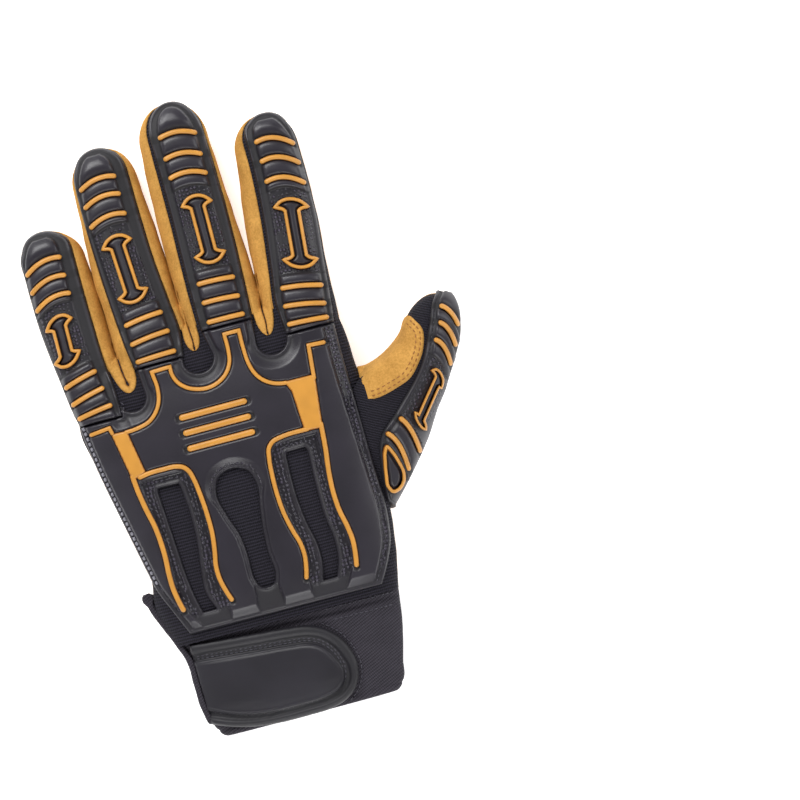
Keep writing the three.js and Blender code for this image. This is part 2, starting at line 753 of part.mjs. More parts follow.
// A flat ring between two outlines, bent onto a surface by a function of x, y and height.
function bentRing(outline, width, low, high, place) {
  const shape = polygon(grow(outline, width / 2));
  shape.holes.push(polygon(grow(outline, -width / 2)));
  const geometry = new THREE.ExtrudeGeometry(shape, { depth: 1, bevelEnabled: false });
  const position = geometry.attributes.position;
  for (let i = 0; i < position.count; i += 1) {
    const height = position.getZ(i) > 0.5 ? high : low;
    const p = place(position.getX(i), position.getY(i), height);
    position.setXYZ(i, p.x, p.y, p.z);
  }
  return fromGeometry(geometry);
}

function fingerBone(finger) {
  const { top, bottom, topX, bottomX, lean } = finger.bone;
  const surface = fingerSurface(finger);
  const place = (u, v, height) => {
    const f = v / (top - bottom) + 0.5;
    const x = THREE.MathUtils.lerp(bottomX, topX, f) + u;
    return over(surface, x, THREE.MathUtils.lerp(bottom, top, f) + (lean * u) / BONE_END, height);
  };
  return bentRing(boneOutline(top - bottom - BONE_WIDTH), BONE_WIDTH, RING_LOW, BAR_TOP, place);
}

// Thumb guard

const THUMB_WRAP = -0.75; // turn of the guard's outer edge, past the silhouette
const THUMB_DROP = [
  { inner: 0, drop: 0 },
  { inner: 14, drop: 8 },
  { inner: 28, drop: 12 },
  { inner: 40, drop: 9 },
  { inner: 58, drop: 6 },
  { inner: 70, drop: 7.6 },
  { inner: 83, drop: 7 },
  { inner: 88, drop: 3 },
];

// A point over the thumb on the row that starts at inner on the flange. f is 0 at the outer edge
// of the guard and 1 at the flange.
function thumbRowPoint(inner, f, height, shift = 0) {
  const edge = mix(THUMB.guard, "along", inner).inner;
  const drop = mix(THUMB_DROP, "inner", inner).drop;
  const turnIn = thumbTurn(inner, edge);
  const turn = THREE.MathUtils.lerp(THUMB_WRAP, turnIn, f);
  const along = inner - (drop * (turnIn - turn)) / turnIn + shift;
  return thumbPoint(THREE.MathUtils.clamp(along, -2, THUMB.tip - 0.4), turn, height);
}

const THUMB_COLUMNS = [0, 0.12, 0.36, 0.6, 0.84, 1];

function thumbGuard() {
  const [upper, lower] = THUMB.rootBars;
  const rows = [{ inner: 3, height: FLANGE }, { inner: 6, height: RECESS }, { inner: 24, height: RECESS }];
  rows.push({ inner: lower - 2.2, height: DECK }, { inner: lower, height: GROOVE });
  rows.push({ inner: (lower + upper) / 2, height: DECK }, { inner: upper, height: GROOVE });
  rows.push({ inner: upper + 2.6, height: DECK }, { inner: upper + 4.1, height: RECESS });
  rows.push({ inner: 61.5, height: RECESS }, { inner: 65.5, height: DECK });
  const nearTip = 80;
  for (const inner of THUMB.tipBars.slice().reverse()) {
    rows.push({ inner, height: GROOVE });
    rows.push({ inner: inner + 3.2, height: inner > nearTip ? TIP_RISE : DECK });
  }
  rows.push({ inner: 87.6, height: FLANGE });
  const grid = (under) =>
    rows.map(({ inner, height }) =>
      THUMB_COLUMNS.map((f, j) => {
        const onDeck = j > 0 && j < 5;
        const rise = under ? GAP + (onDeck ? 0.4 : 0.1) : onDeck ? height : FLANGE;
        return thumbRowPoint(inner, f, rise);
      }).reverse()
    );
  return plate(grid(false), grid(true));
}

function thumbBar(inner) {
  const columns = [0.15, 0.36, 0.6, 0.82];
  const grid = (height) =>
    [-BAR_WIDTH / 2, BAR_WIDTH / 2].map((shift) => columns.map((f) => thumbRowPoint(inner, f, height, shift)).reverse());
  return plate(grid(BAR_TOP), grid(GROOVE + 2 * GAP));
}

// Maps a flat outline onto the thumb's back around a point of it: u outward, v along.
function thumbPlace(along, turn, angle, lean) {
  const radius = THUMB.depth / 2 + 1;
  const c = Math.cos(angle);
  const sn = Math.sin(angle);
  return (u, v, height) => thumbPoint(along + v * c - u * (sn + lean), turn - (u * c + v * sn) / radius, height);
}

function thumbBone() {
  return bentRing(boneOutline(21.5), BONE_WIDTH, RING_LOW, BAR_TOP, thumbPlace(45.4, 0.55, 0.06, 0.5));
}

function teardropRing() {
  const outline = [
    [-0.5, 9.2],
    [3.6, 4],
    [5, -1],
    [4.4, -5.4],
    [1, -8],
    [-3, -7.4],
    [-4.8, -3.6],
    [-4.2, 2],
  ];
  return bentRing(outline.reverse(), BONE_WIDTH, RING_LOW, BAR_TOP, thumbPlace(13, 1.1, -0.5, 0));
}

// Hand guard

const U_RADIUS = 6;
const CROTCHES = [
  { x: -43, y: 25.4, rimLeft: [-48.6, 18.6], rimRight: [-38, 35.2] },
  { x: -12.6, y: 33.8, rimLeft: [-18.4, 35.2], rimRight: [-8.6, 43.2] },
  { x: 18.3, y: 33.4, rimLeft: [12.6, 43.2], rimRight: [24.4, 33.2] },
];

function handGuardOutline() {
  const shape = new THREE.Shape();
  shape.moveTo(-67, 18.2);
  shape.splineThru([new THREE.Vector2(-64.6, 0), new THREE.Vector2(-60.6, -20), new THREE.Vector2(-55.8, -45)]);
  shape.lineTo(-50, -63);
  shape.lineTo(-45.4, -74);
  shape.lineTo(36.2, -75);
  shape.lineTo(43.6, -60);
  shape.lineTo(45, -50);
  shape.lineTo(44.6, 0);
  shape.lineTo(44.4, 33.2);
  for (const crotch of CROTCHES.slice().reverse()) {
    shape.lineTo(...crotch.rimRight);
    shape.absarc(crotch.x, crotch.y, U_RADIUS, 0, -Math.PI, true);
    shape.lineTo(...crotch.rimLeft);
  }
  return shape;
}

// The ribbed slots between the long lines: centre line and half width at each point.
const SLOTS = {
  left: [[-37.8, -13.5, 4.3], [-37, -30, 4.4], [-37.2, -46, 3.2], [-36.6, -58, 2.4], [-34.8, -67, 2.4]],
  right: [[16.3, -12.8, 4.3], [16, -30, 4.2], [17, -42, 3.6], [18.4, -54, 3.3], [16.6, -67, 2.5]],
  centre: [[-11.2, -13.6, 5], [-11.2, -19, 8.4], [-10.9, -27, 7.6], [-10, -40, 4.8], [-9.6, -60, 3.9], [-9.4, -63.6, 2]],
};

// The textured borders around the two outer slots, where the guard is thin.
const BORDERS = {
  left: [[-38.8, -8.4, 9.4], [-37.6, -20, 10.4], [-36, -32, 9.8], [-36.2, -50, 8], [-34.6, -66, 7.2], [-33, -69.5, 4]],
  right: [[16.8, -8, 9], [16.2, -22, 10], [16.4, -38, 9.2], [18.6, -52, 8.4], [17.2, -66, 7.6], [16, -69.5, 4]],
};

function spine(rows) {
  const left = rows.map(([x, y, half]) => [x - half, y]);
  const right = rows.map(([x, y, half]) => [x + half, y]).reverse();
  return polygon([...left, ...right]);
}

// Orange lines of the hand guard: centre lines with their widths.
const v2 = (x, y) => new THREE.Vector2(x, y);
const THIN = 1.7;
const THICK = 2.1;

function strokes() {
  const list = [];
  const stroke = (width, startX, startY, draw) => {
    const path = new THREE.Path();
    path.moveTo(startX, startY);
    draw(path);
    list.push(ribbon(path.getPoints(2), width));
  };
  stroke(THIN, -63.4, 14.8, (p) => p.lineTo(-55.2, 15.7).lineTo(-53.8, 11.5));
  stroke(THIN, -53.4, 12.1, (p) => {
    p.lineTo(-44, 12.4);
    p.splineThru([v2(-38, 14.3), v2(-33.4, 19), v2(-31.6, 26)]);
    p.lineTo(-32.3, 33).lineTo(-24.6, 33.2).lineTo(-24.7, 30.2);
    p.splineThru([v2(-21.4, 24.2), v2(-12, 21.2), v2(-3, 25), v2(0.1, 32)]);
    p.lineTo(0.2, 40.4).lineTo(6.4, 40.4).lineTo(6.4, 32);
    p.splineThru([v2(8.2, 22), v2(13.2, 16.6), v2(20, 14.8)]);
  });
  stroke(THIN, 31.2, 13, (p) => p.lineTo(32.4, 27.2).lineTo(39.2, 26.8));
  stroke(THICK, 28.8, -4, (p) => p.splineThru([v2(27, -25), v2(26.8, -38), v2(29.2, -54), v2(27.8, -64.8)]));
  stroke(THIN, 24, -5.8, (p) => {
    p.lineTo(11, -6.1);
    p.splineThru([v2(6.2, -8.6), v2(4.3, -24), v2(6, -42), v2(8.7, -54), v2(6.8, -64.6)]);
  });
  stroke(THICK, -51, -5, (p) => p.splineThru([v2(-48.9, -21), v2(-46.6, -38), v2(-47, -53), v2(-44.8, -64.6)]));
  stroke(THIN, -48, -6.9, (p) => {
    p.lineTo(-33, -6.5);
    p.splineThru([v2(-28, -9.6), v2(-25.5, -26), v2(-26, -42), v2(-27.4, -53), v2(-24.7, -65)]);
  });
  list.push(polygon([[-54.8, 12.9], [-48.2, 12.9], [-45.2, -6], [-51.8, -7.6]].reverse()));
  list.push(polygon([[18, 15.6], [31.9, 15.6], [29.8, -6.6], [22.2, -6.6], [21, 10.6]].reverse()));
  return list;
}

function ribbon(points, width) {
  const side = (sign) =>
    points.map((p, i) => {
      const a = points[Math.max(i - 1, 0)];
      const b = points[Math.min(i + 1, points.length - 1)];
      const before = i > 0 ? p.clone().sub(a).normalize() : b.clone().sub(p).normalize();
      const after = i + 1 < points.length ? b.clone().sub(p).normalize() : before;
      const normal = v2(-before.y - after.y, before.x + after.x).normalize();
      const reach = (sign * width) / 2 / Math.max(normal.dot(v2(-before.y, before.x)), 0.6);
      return p.clone().addScaledVector(normal, reach);
    });
  return new THREE.Shape([...side(-1), ...side(1).reverse()]);
}

function unionOf(shapes) {
  return shapes.map((shape) => prism(shape, LOW, HIGH)).reduce((a, b) => a.add(b));
}

const GUARD_COLUMNS = [-0.98, -0.93, -0.84, -0.62, -0.25, 0.15, 0.5, 0.76, 0.9, 0.97];
const GUARD_ROWS = [-77, -56, -36, -8, 18, 32, 46];
const guardLayer = (low, high) => limbPlate(CROWN, backSurface, GUARD_COLUMNS, GUARD_ROWS, low, high);

function handGuard() {
  const outline = prism(handGuardOutline(), LOW, HIGH);
  const slots = unionOf([spine(SLOTS.left), spine(SLOTS.right), spine(SLOTS.centre)]);
  const borders = unionOf([spine(BORDERS.left), spine(BORDERS.right), spine(SLOTS.centre)]);
  const strips = unionOf([
    polygon([[-72, 20], [-66, 20], [-62.6, 0], [-54, -45], [-48.6, -63], [-43.6, -78], [-72, -78]]),
    polygon([[41.6, 36], [50, 36], [50, -78], [33.6, -78], [41.8, -60], [42, -50]]),
  ]);
  const flange = guardLayer(HAND_GUARD_LIFT, HAND_GUARD_LIFT + FLANGE).intersect(outline).subtract(slots);
  const deck = guardLayer(HAND_GUARD_LIFT + 0.5, HAND_GUARD_LIFT + DECK);
  return flange.add(deck.intersect(outline).subtract(borders).subtract(strips));
}

const lineLayer = guardLayer(LINE_LOW, LINE_LOW + LINE_HEIGHT);
const handGuardLines = lineLayer.intersect(unionOf(strokes()));

function backBar(y) {
  const half = 13;
  const round = 1.3;
  const shape = new THREE.Shape();
  shape.moveTo(-12 - half, y - round);
  shape.lineTo(-12 + half, y - round);
  shape.absarc(-12 + half, y, round, -Math.PI / 2, Math.PI / 2, false);
  shape.lineTo(-12 - half, y + round);
  shape.absarc(-12 - half, y, round, Math.PI / 2, (3 * Math.PI) / 2, false);
  return lineLayer.intersect(prism(shape, LOW, HIGH));
}

// Tan crescent over the crotch of the thumb
const WEB_PATCH = [
  [50.9, -1],
  [62, 0.8],
  [69, 3.6],
  [75, 9.6],
  [79, 18],
  [78.6, 23.5],
  [75.4, 29.4],
  [71, 31.5],
  [65, 23.5],
  [57, 17.5],
  [51.2, 16.5],
];

const webPatch = handForm(-GAP - 1.2, WRIST_Y)
  .subtract(handForm(-GAP, WRIST_Y - 1))
  .intersect(prism(polygon(WEB_PATCH), 9, HIGH));

// Wrist

const CUFF = {
  power: PALM_POWER,
  from: CUFF_END_Y,
  tip: 1000,
  round: 10,
  rows: [
    { y: -119.6, left: -40, right: 30, under: 2.2, top: 15.5 },
    { y: -116, left: -43.6, right: 33.6, under: 1.6, top: 17 },
    { y: -108, left: -45.6, right: 35.6, under: 1.4, top: 18 },
    { y: -94, left: -46.4, right: 39.6, under: 1.4, top: 19 },
    { y: -77.8, left: -47.6, right: 41.6, under: 1.8, top: 20.5 },
  ],
};

function cuffSolid() {
  const tube = (inset, low, high) => {
    const stations = [low, -116, -108, -94, high];
    const rings = stations.map((y) => sectionRing(CUFF, y, inset).reverse());
    const centre = (y) => {
      const s = sectionAt(CUFF, y, 0);
      return new THREE.Vector3(s.centreX, y, s.centreZ);
    };
    return loft(rings, centre(low), centre(high));
  };
  const hollow = tube(CUFF_WALL, CUFF_END_Y - 0.5, WRIST_Y);
  return tube(0, CUFF_END_Y, WRIST_Y - GAP).subtract(hollow);
}

const cuffSurface = (x, y) => topOf(CUFF, x, y);

function strapOutline(inset) {
  const shape = new THREE.Shape();
  const radius = 18.6 - inset;
  shape.moveTo(-43.6, -82.4 - inset);
  shape.lineTo(-42, -114.6 + inset);
  shape.lineTo(-30, -119.2 + inset);
  shape.lineTo(-1, -101.2 - radius);
  shape.absarc(-1, -101.2, radius, -Math.PI / 2, Math.PI / 2, false);
  return shape;
}

function wristStrap() {
  const columns = [-0.98, -0.9, -0.7, -0.25, 0.2, 0.6];
  const rows = [-119.6, -116, -108, -94, -80];
  const layer = (low, high) => limbPlate(CUFF, cuffSurface, columns, rows, low, high);
  const base = layer(GAP + 0.25, 1.9).intersect(prism(strapOutline(0), LOW, HIGH));
  const rim = prism(strapOutline(0.3), LOW, HIGH).subtract(prism(strapOutline(3.3), LOW, HIGH));
  const panel = layer(1, 2.7).intersect(prism(strapOutline(6.6), LOW, HIGH));
  return base.add(layer(1, 3.1).intersect(rim)).add(panel);
}

function strapBinding() {
  const half = 1.3;
  const height = 12;
  const edge = (y) => (y > WRIST_Y ? mix(HAND.rows, "y", y).left : mix(CUFF.rows, "y", y).left);
  const stations = [-113, -106, -98, -90, -82, -76, -69, -62];
  const points = stations.map((y) => new THREE.Vector3(edge(y) - GAP - half - 0.2, y, 0));
  points.push(new THREE.Vector3(-58.6, -56, 0));
  const section = new THREE.Shape();
  section.moveTo(-height / 2, -half + 0.8);
  section.lineTo(-height / 2 + 0.8, -half);
  section.lineTo(height / 2 - 0.8, -half);
  section.lineTo(height / 2, -half + 0.8);
  section.lineTo(height / 2, half - 0.8);
  section.lineTo(height / 2 - 0.8, half);
  section.lineTo(-height / 2 + 0.8, half);
  section.lineTo(-height / 2, half - 0.8);
  const extrudePath = new THREE.CatmullRomCurve3(points);
  const geometry = new THREE.ExtrudeGeometry(section, { steps: 14, extrudePath, bevelEnabled: false });
  geometry.translate(0, 0, 10.5);
  return fromGeometry(geometry);
}

// Padding sewn under the palm, flat where the glove lies

function closedSpline(points) {
  const curve = new THREE.CatmullRomCurve3(points.map(([x, y]) => new THREE.Vector3(x, y, 0)), true);
  return new THREE.Shape(curve.getPoints(points.length * 2).slice(0, -1).map((p) => v2(p.x, p.y)));
}

function knucklePad() {
  const shape = new THREE.Shape();
  shape.moveTo(-62, 20);
  shape.lineTo(41.5, 18.5);
  shape.lineTo(41.5, 46);
  shape.splineThru([
    v2(33, 57.5),
    v2(24, 50),
    v2(17.5, 41),
    v2(10, 52),
    v2(1.5, 61.5),
    v2(-7, 54),
    v2(-14, 43.5),
    v2(-21, 53),
    v2(-30, 58.5),
    v2(-38, 50),
    v2(-44.5, 37.5),
    v2(-50, 46),
    v2(-57, 49.5),
    v2(-63.5, 44),
  ]);
  return shape;
}

const PALM_PADS = {
  palm_pad_index_side: [[12, 15], [20, 0], [31, -25], [34.4, -38], [28, -48.5], [16, -51], [4, -45.5], [-1.4, -34], [-0.6, -16]],
  palm_pad_little_side: [[-25, 12], [-17, 0], [-7, -24], [-4, -36], [-9, -47], [-24, -51], [-39, -46], [-46, -33], [-41, -13]],
};

const glove = new THREE.Group();

function addPiece(name, solid, colour, roughness) {
  const geometry = toGeometry(solid);
  const material = new THREE.MeshStandardMaterial({ color: colour, roughness, metalness: 0 });
  const mesh = new THREE.Mesh(geometry, material);
  mesh.name = name;
  glove.add(mesh);
}

const SUEDE = [COLOURS.suede, 0.95];
const KNIT = [COLOURS.knit, 0.9];
const RUBBER = [COLOURS.rubber, 0.5];
const ORANGE = [COLOURS.orange, 0.5];

addPiece("palm_panel", largest(palmPanel), ...SUEDE);
addPiece("back_panel", backPanel, ...KNIT);
fourchettes.forEach((solid, i) => addPiece(TONGUES[i].name, solid, ...SUEDE));
addPiece("thumb_front", thumbFront, ...SUEDE);
addPiece("thumb_back", thumbBack, ...KNIT);
addPiece("web_patch", largest(webPatch), ...SUEDE);
addPiece("knuckle_pad", prism(knucklePad(), 0, PAD_THICKNESS), ...SUEDE);
for (const [name, points] of Object.entries(PALM_PADS)) {
  addPiece(name, prism(closedSpline(points), 0, PAD_THICKNESS), ...SUEDE);
}
addPiece("cuff", cuffSolid(), COLOURS.elastic, 0.9);
addPiece("wrist_strap", wristStrap(), COLOURS.strap, 0.6);
addPiece("strap_binding", strapBinding(), COLOURS.elastic, 0.8);
addPiece("hand_guard", handGuard(), ...RUBBER);
addPiece("hand_guard_lines", largest(handGuardLines), ...ORANGE);
[12, 5.5, -1].forEach((y, i) => addPiece(`back_bar_${i + 1}`, backBar(y), ...ORANGE));
for (const [name, finger] of Object.entries(FINGERS)) {
  addPiece(`finger_guard_${name}`, fingerGuard(finger), ...RUBBER);
  finger.tipBars.forEach((y, i) => addPiece(`${name}_tip_bar_${i + 1}`, fingerBar(finger, y), ...ORANGE));
  finger.rootBars.forEach((y, i) => addPiece(`${name}_root_bar_${i + 1}`, fingerBar(finger, y), ...ORANGE));
  addPiece(`${name}_bone`, fingerBone(finger), ...ORANGE);
}
addPiece("thumb_guard", thumbGuard(), ...RUBBER);
THUMB.tipBars.forEach((inner, i) => addPiece(`thumb_tip_bar_${i + 1}`, thumbBar(inner), ...ORANGE));
THUMB.rootBars.forEach((inner, i) => addPiece(`thumb_root_bar_${i + 1}`, thumbBar(inner), ...ORANGE));
addPiece("thumb_bone", thumbBone(), ...ORANGE);
addPiece("thumb_teardrop", teardropRing(), ...ORANGE);

// The origin lies on the ground under the middle of the glove.
const box = new THREE.Box3().setFromObject(glove);
const middlePoint = box.getCenter(new THREE.Vector3());
glove.position.set(-middlePoint.x, -middlePoint.y, -box.min.z);

export default glove;
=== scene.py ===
"""Impact resistant work glove, left hand, lying palm down.

The soft shell of suede and knit, the moulded guards with their orange bars, the cuff and the strap
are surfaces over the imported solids. Lengths are millimetres of the drawing until a mesh is made:
+X to the thumb side, +Y to the fingertips, +Z up from the back of the hand.
"""
import math

import bmesh
import bpy
import numpy as np
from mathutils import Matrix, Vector


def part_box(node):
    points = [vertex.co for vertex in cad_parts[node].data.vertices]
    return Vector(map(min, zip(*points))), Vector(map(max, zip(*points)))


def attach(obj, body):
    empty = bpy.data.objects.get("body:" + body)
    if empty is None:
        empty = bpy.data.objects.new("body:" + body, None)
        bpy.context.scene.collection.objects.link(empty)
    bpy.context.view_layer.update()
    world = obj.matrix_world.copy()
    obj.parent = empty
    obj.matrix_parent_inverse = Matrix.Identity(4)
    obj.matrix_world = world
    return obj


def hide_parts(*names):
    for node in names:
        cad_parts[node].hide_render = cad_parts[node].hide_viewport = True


bl_info = {
    "name": "Impact Work Glove",
    "version": (1, 0, 0),
    "blender": (4, 5, 0),
    "location": "View3D > Sidebar > Glove",
    "description": "Dresses the solids of an impact resistant work glove",
    "category": "Add Mesh",
}

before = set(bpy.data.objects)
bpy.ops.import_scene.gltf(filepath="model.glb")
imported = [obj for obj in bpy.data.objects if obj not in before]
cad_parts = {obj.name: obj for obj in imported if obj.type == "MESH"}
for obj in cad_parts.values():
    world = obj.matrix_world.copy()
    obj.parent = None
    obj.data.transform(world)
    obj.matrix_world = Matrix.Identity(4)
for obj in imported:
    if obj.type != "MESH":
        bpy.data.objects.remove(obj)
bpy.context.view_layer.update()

# Where the drawing's zero lies in the frame, from the cuff's open end and the knuckle pad's side
CUFF_END = -119.5
PAD_RIGHT = 41.5
SHIFT = np.array([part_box("knuckle_pad")[1].x * 1000 - PAD_RIGHT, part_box("cuff")[0].y * 1000 - CUFF_END, 0.0])

WRIST = -77.4  # where the hand ends and the cuff begins
TIP_POWER = 2.1  # roundness of a fingertip in plan
UNDER_POWER = 4.5  # the lower half is flattened where it lies
SIDE_FALL = 3.0  # how steeply the height of a surface falls past the side of its limb
END_FALL = 4.0  # and past the ends of it
BLEND = 3.0  # stretch over which the backs of two limbs are blended
WITHIN = 0.97  # share of a thumb's or a fingertip's width up to which its own height counts

# Sections of the hand: y, left and right edge, underside and top
HAND = {
    "power": 3.0, "fall": 1.3, "tip": 50.0, "round": 14.0,
    "rows": [
        (-78, -52.0, 42.2, 3, 24.4),
        (-70, -54.8, 43.8, 2, 25.5),
        (-62, -56.9, 45.4, 2, 26.6),
        (-56, -56.4, 46.2, 2, 27.2),
        (-51, -55.4, 46.8, 2, 27.6),
        (-40, -57.2, 47.8, 2, 28.4),
        (-20, -61.1, 49.2, 2, 28.9),
        (0, -64.9, 49.9, 2, 28.9),
        (18, -67.8, 48.6, 2, 28.2),
        (30, -64.5, 48.0, 2, 27.0),
        (38, -56.0, 46.5, 2, 25.8),
        (50, -42.0, 44.0, 2, 24.0),
    ],
}

# Each finger: sections as for the hand, then the outline of its guard as y, left edge, left and right
# edge of the raised deck, right edge. Bars: y of the orange bars on the centre line, from the tip
# down. Lean, bow: how far a bar's right end and its middle lie above its left end. Bone: the
# bone-shaped ring, its top and bottom y, its x there and how it leans. Border: knit beside the guard.
FINGERS = {
    "little": {
        "power": 2.5, "start": 12, "tip": 100.6, "round": 12,
        "rows": [
            (12, -62, -48, 5, 22),
            (22, -67.6, -46.4, 2, 24.2),
            (40, -70.4, -45.6, 2, 23),
            (60, -72.9, -46.5, 2, 21.4),
            (75, -73.8, -47.1, 1.5, 20.4),
            (90, -74.2, -48.5, 1.2, 19.2),
            (101, -74.2, -50, 1, 18.4),
        ],
        "guard": [
            (19, -67.2, -66.4, -50.6, -48.4),
            (30, -69.0, -68.0, -52.9, -49),
            (40, -70.4, -69.4, -54.6, -50.3),
            (60, -72.9, -71.8, -56, -51.2),
            (101, -73.8, -72.8, -56.4, -51.7),
        ],
        "guard_tip": 101.4,
        "tip_bars": (86.5, 78.8, 71.2), "tip_lean": 2.1, "tip_bow": 2.1,
        "root_bars": (37.8, 30.3, 23.4), "root_lean": 2.0, "root_bow": 0.3,
        "bone": {"top": 66.0, "bottom": 44.0, "top_x": -64.4, "bottom_x": -64.5, "lean": 1.4, "end": 5.6},
        "border": (0.0, 0.4),
    },
    "ring": {
        "power": 2.5, "start": 22, "tip": 128, "round": 13,
        "rows": [
            (22, -42, -17, 5, 24.5),
            (36, -44.6, -14.6, 2, 26.6),
            (60, -45.4, -15.6, 2, 24),
            (75, -46.3, -16, 1.6, 22.6),
            (90, -45.8, -17, 1.3, 21.5),
            (118, -44.6, -19.2, 1, 19.8),
            (129, -44, -19.8, 1, 19.2),
        ],
        "guard": [
            (36, -39, -37.6, -20.4, -18.2),
            (45, -40.4, -38, -20.9, -17.2),
            (60, -41.9, -38.9, -22.4, -18.6),
            (80, -43.2, -41, -24.8, -20.5),
            (100, -44, -42.2, -26, -21.2),
            (129, -43.8, -42, -26, -21.7),
        ],
        "guard_tip": 128.8,
        "tip_bars": (113.6, 106.1, 97.7), "tip_lean": 1.2, "tip_bow": 2.0,
        "root_bars": (55.1, 46.9, 38.9), "root_lean": 1.0, "root_bow": 0.4,
        "bone": {"top": 91.8, "bottom": 62.2, "top_x": -33.2, "bottom_x": -31.4, "lean": 0.7, "end": 6.0},
        "border": (0.4, 0.6),
    },
    "middle": {
        "power": 2.5, "start": 26, "tip": 138.8, "round": 15,
        "rows": [
            (26, -11, 14.5, 5, 24.5),
            (42, -13.8, 16.8, 2, 26.6),
            (62, -14.9, 17.3, 2, 24.8),
            (90, -14.9, 15.6, 1.4, 22.4),
            (110, -14.5, 14.5, 1.1, 21.1),
            (125, -13.6, 13.6, 1, 20.4),
            (139, -13, 13.4, 1, 20),
        ],
        "guard": [
            (44, -8.8, -5.5, 10.4, 12.8),
            (60, -9, -5.5, 10.4, 13.4),
            (90, -8.6, -5.5, 10.4, 14),
            (139, -9, -5.5, 10.4, 12.6),
        ],
        "guard_tip": 139.5,
        "tip_bars": (124.1, 115.1, 107.0), "tip_lean": -0.7, "tip_bow": 1.8,
        "root_bars": (62.6, 54.6, 46.7), "root_lean": -0.35, "root_bow": 0.3,
        "bone": {"top": 99.3, "bottom": 69.6, "top_x": 3.0, "bottom_x": 3.0, "lean": -0.2, "end": 6.0},
        "border": (1.4, 0.6),
    },
    "index": {
        "power": 2.5, "start": 18, "tip": 124.4, "round": 12,
        "rows": [
            (18, 20, 45, 5, 23.5),
            (34, 17.7, 46.9, 2, 25.9),
            (60, 18.4, 48, 2, 23.8),
            (80, 19.6, 49.4, 1.5, 21.9),
            (100, 22.2, 49.6, 1.1, 20.6),
            (125, 25.2, 48.6, 1, 19.4),
        ],
        "guard": [
            (34, 24.6, 25.8, 43, 44.8),
            (45, 23.6, 26.4, 43.8, 45.9),
            (60, 25.4, 28.3, 45.4, 47.2),
            (80, 27.7, 31, 47.6, 49),
            (100, 28.9, 32.3, 48.2, 49.2),
            (125, 28.6, 31.6, 47.4, 48.6),
        ],
        "guard_tip": 125.1,
        "tip_bars": (110.9, 102.6, 94.1), "tip_lean": -2.1, "tip_bow": 2.5,
        "root_bars": (51.1, 43.6, 37.0), "root_lean": -1.5, "root_bow": 0.5,
        "bone": {"top": 88.0, "bottom": 58.1, "top_x": 40.4, "bottom_x": 37.8, "lean": -1.5, "end": 6.6},
        "border": (1.5, 0.0),
    },
}

# Thumb: distance along it from its root, left and right edge seen from above, tilt of the section
THUMB_ROOT = np.array([50.0, -45.0])
THUMB_ANGLE = math.radians(28.5)
THUMB_DEPTH = 21.0
THUMB_UNDER = 1.2
THUMB_TIP = 88.2
THUMB_ROUND = 18.0
THUMB_ROWS = [
    (-8, -21, -4, 12),
    (6, -22, 0, 22),
    (18, -25, 2.8, 28),
    (30, -27, 5, 32),
    (43, -28, 6, 34),
    (50.5, -24.6, 7.2, 36),
    (57, -19.8, 7.5, 42),
    (61, -17.4, 7.8, 46),
    (66, -15, 8, 50),
    (73, -14.5, 8, 52),
    (89, -13.8, 7.6, 52),
]
# Inner edge of the thumb guard, and how far a row drops on its way out: along, edge across, drop
THUMB_GUARD = [
    (0, -4.4, 2),
    (12, -9.2, 7),
    (25, -12.6, 11.5),
    (37, -8.9, 10),
    (58, -3.6, 6),
    (76, -4.2, 7.8),
    (84, -4.8, 6.6),
    (88, -4.2, 0),
]
THUMB_STRAIGHT = 74  # distance along up to which its rows lie at even steps
THUMB_WRAP = -0.75  # turn of the guard's outer edge, past the silhouette
# Orange bars of the thumb and the ends of its puffed pads, as parabolas: distance along and across
# where the bar runs square to the thumb, how fast it drops from there, its two ends across
THUMB_BARS = {
    "tip_1": (83.4, -1.3, 0.074, -1.9, 7.7),
    "tip_2": (76.7, -0.9, 0.085, -0.9, 8.6),
    "tip_3": (69.4, -0.8, 0.099, -1.1, 8.4),
    "root_1": (35.4, -10.9, 0.049, -7.8, 4.9),
    "root_2": (27.7, -13.0, 0.057, -11.7, 1.9),
}
THUMB_PADS = {
    "tip": [(63.4, -1.5, 0.085), (92.0, 0.0, 0.0)],
    "root": [(23.6, -13.0, 0.057), (38.6, -10.9, 0.049)],
}
THUMB_BONE = [
    [(77.9, 4.5), (79.6, 4.6), (80.9, 3.3), (81.6, 1.2), (81.7, -0.8), (81.2, -2.3), (80.4, -3.6)],
    [(80.4, -3.6), (79.6, -2.9), (78.7, -3.7)], [(78.7, -3.7), (69.9, -14.8)],
    [(69.9, -14.8), (70.2, -16.6), (69.9, -18.5)],
    [(69.9, -18.5), (68.9, -17.9), (67.5, -15.6), (66.8, -12.9), (66.9, -10.4)],
    [(66.9, -10.4), (67.7, -11), (68.3, -11.8)], [(68.3, -11.8), (77.9, 0.2)],
    [(77.9, 0.2), (78.9, 1.6), (78.7, 3.2), (77.9, 4.5)],
]
THUMB_DROP = [
    (51.7, -20.7), (53.7, -23.7), (55.4, -28.3), (56.4, -32.9), (55.6, -36.4), (53, -39.1), (50.4, -39.6),
    (48.9, -37.3), (49, -32.2), (49.7, -26.8), (50.6, -22.5),
]

# Sections of the cuff, as for the hand
CUFF = {
    "power": 3.0, "tip": 1000.0, "round": 10.0,
    "rows": [
        (-119.6, -42.6, 31, 2.2, 15.5),
        (-116, -45.4, 34.2, 1.6, 17),
        (-108, -47.4, 36.2, 1.4, 18),
        (-94, -48.2, 39.8, 1.4, 19),
        (-84, -49.0, 41.2, 1.6, 20),
        (-77.8, -51.2, 42.0, 1.8, 20.5),
        (-74, -52.2, 42.3, 1.8, 20.8),
    ],
}


# Curves and distances

def unit(vectors):
    """Vectors divided by their lengths."""
    return vectors / np.maximum(np.linalg.norm(vectors, axis=-1, keepdims=True), 1e-9)


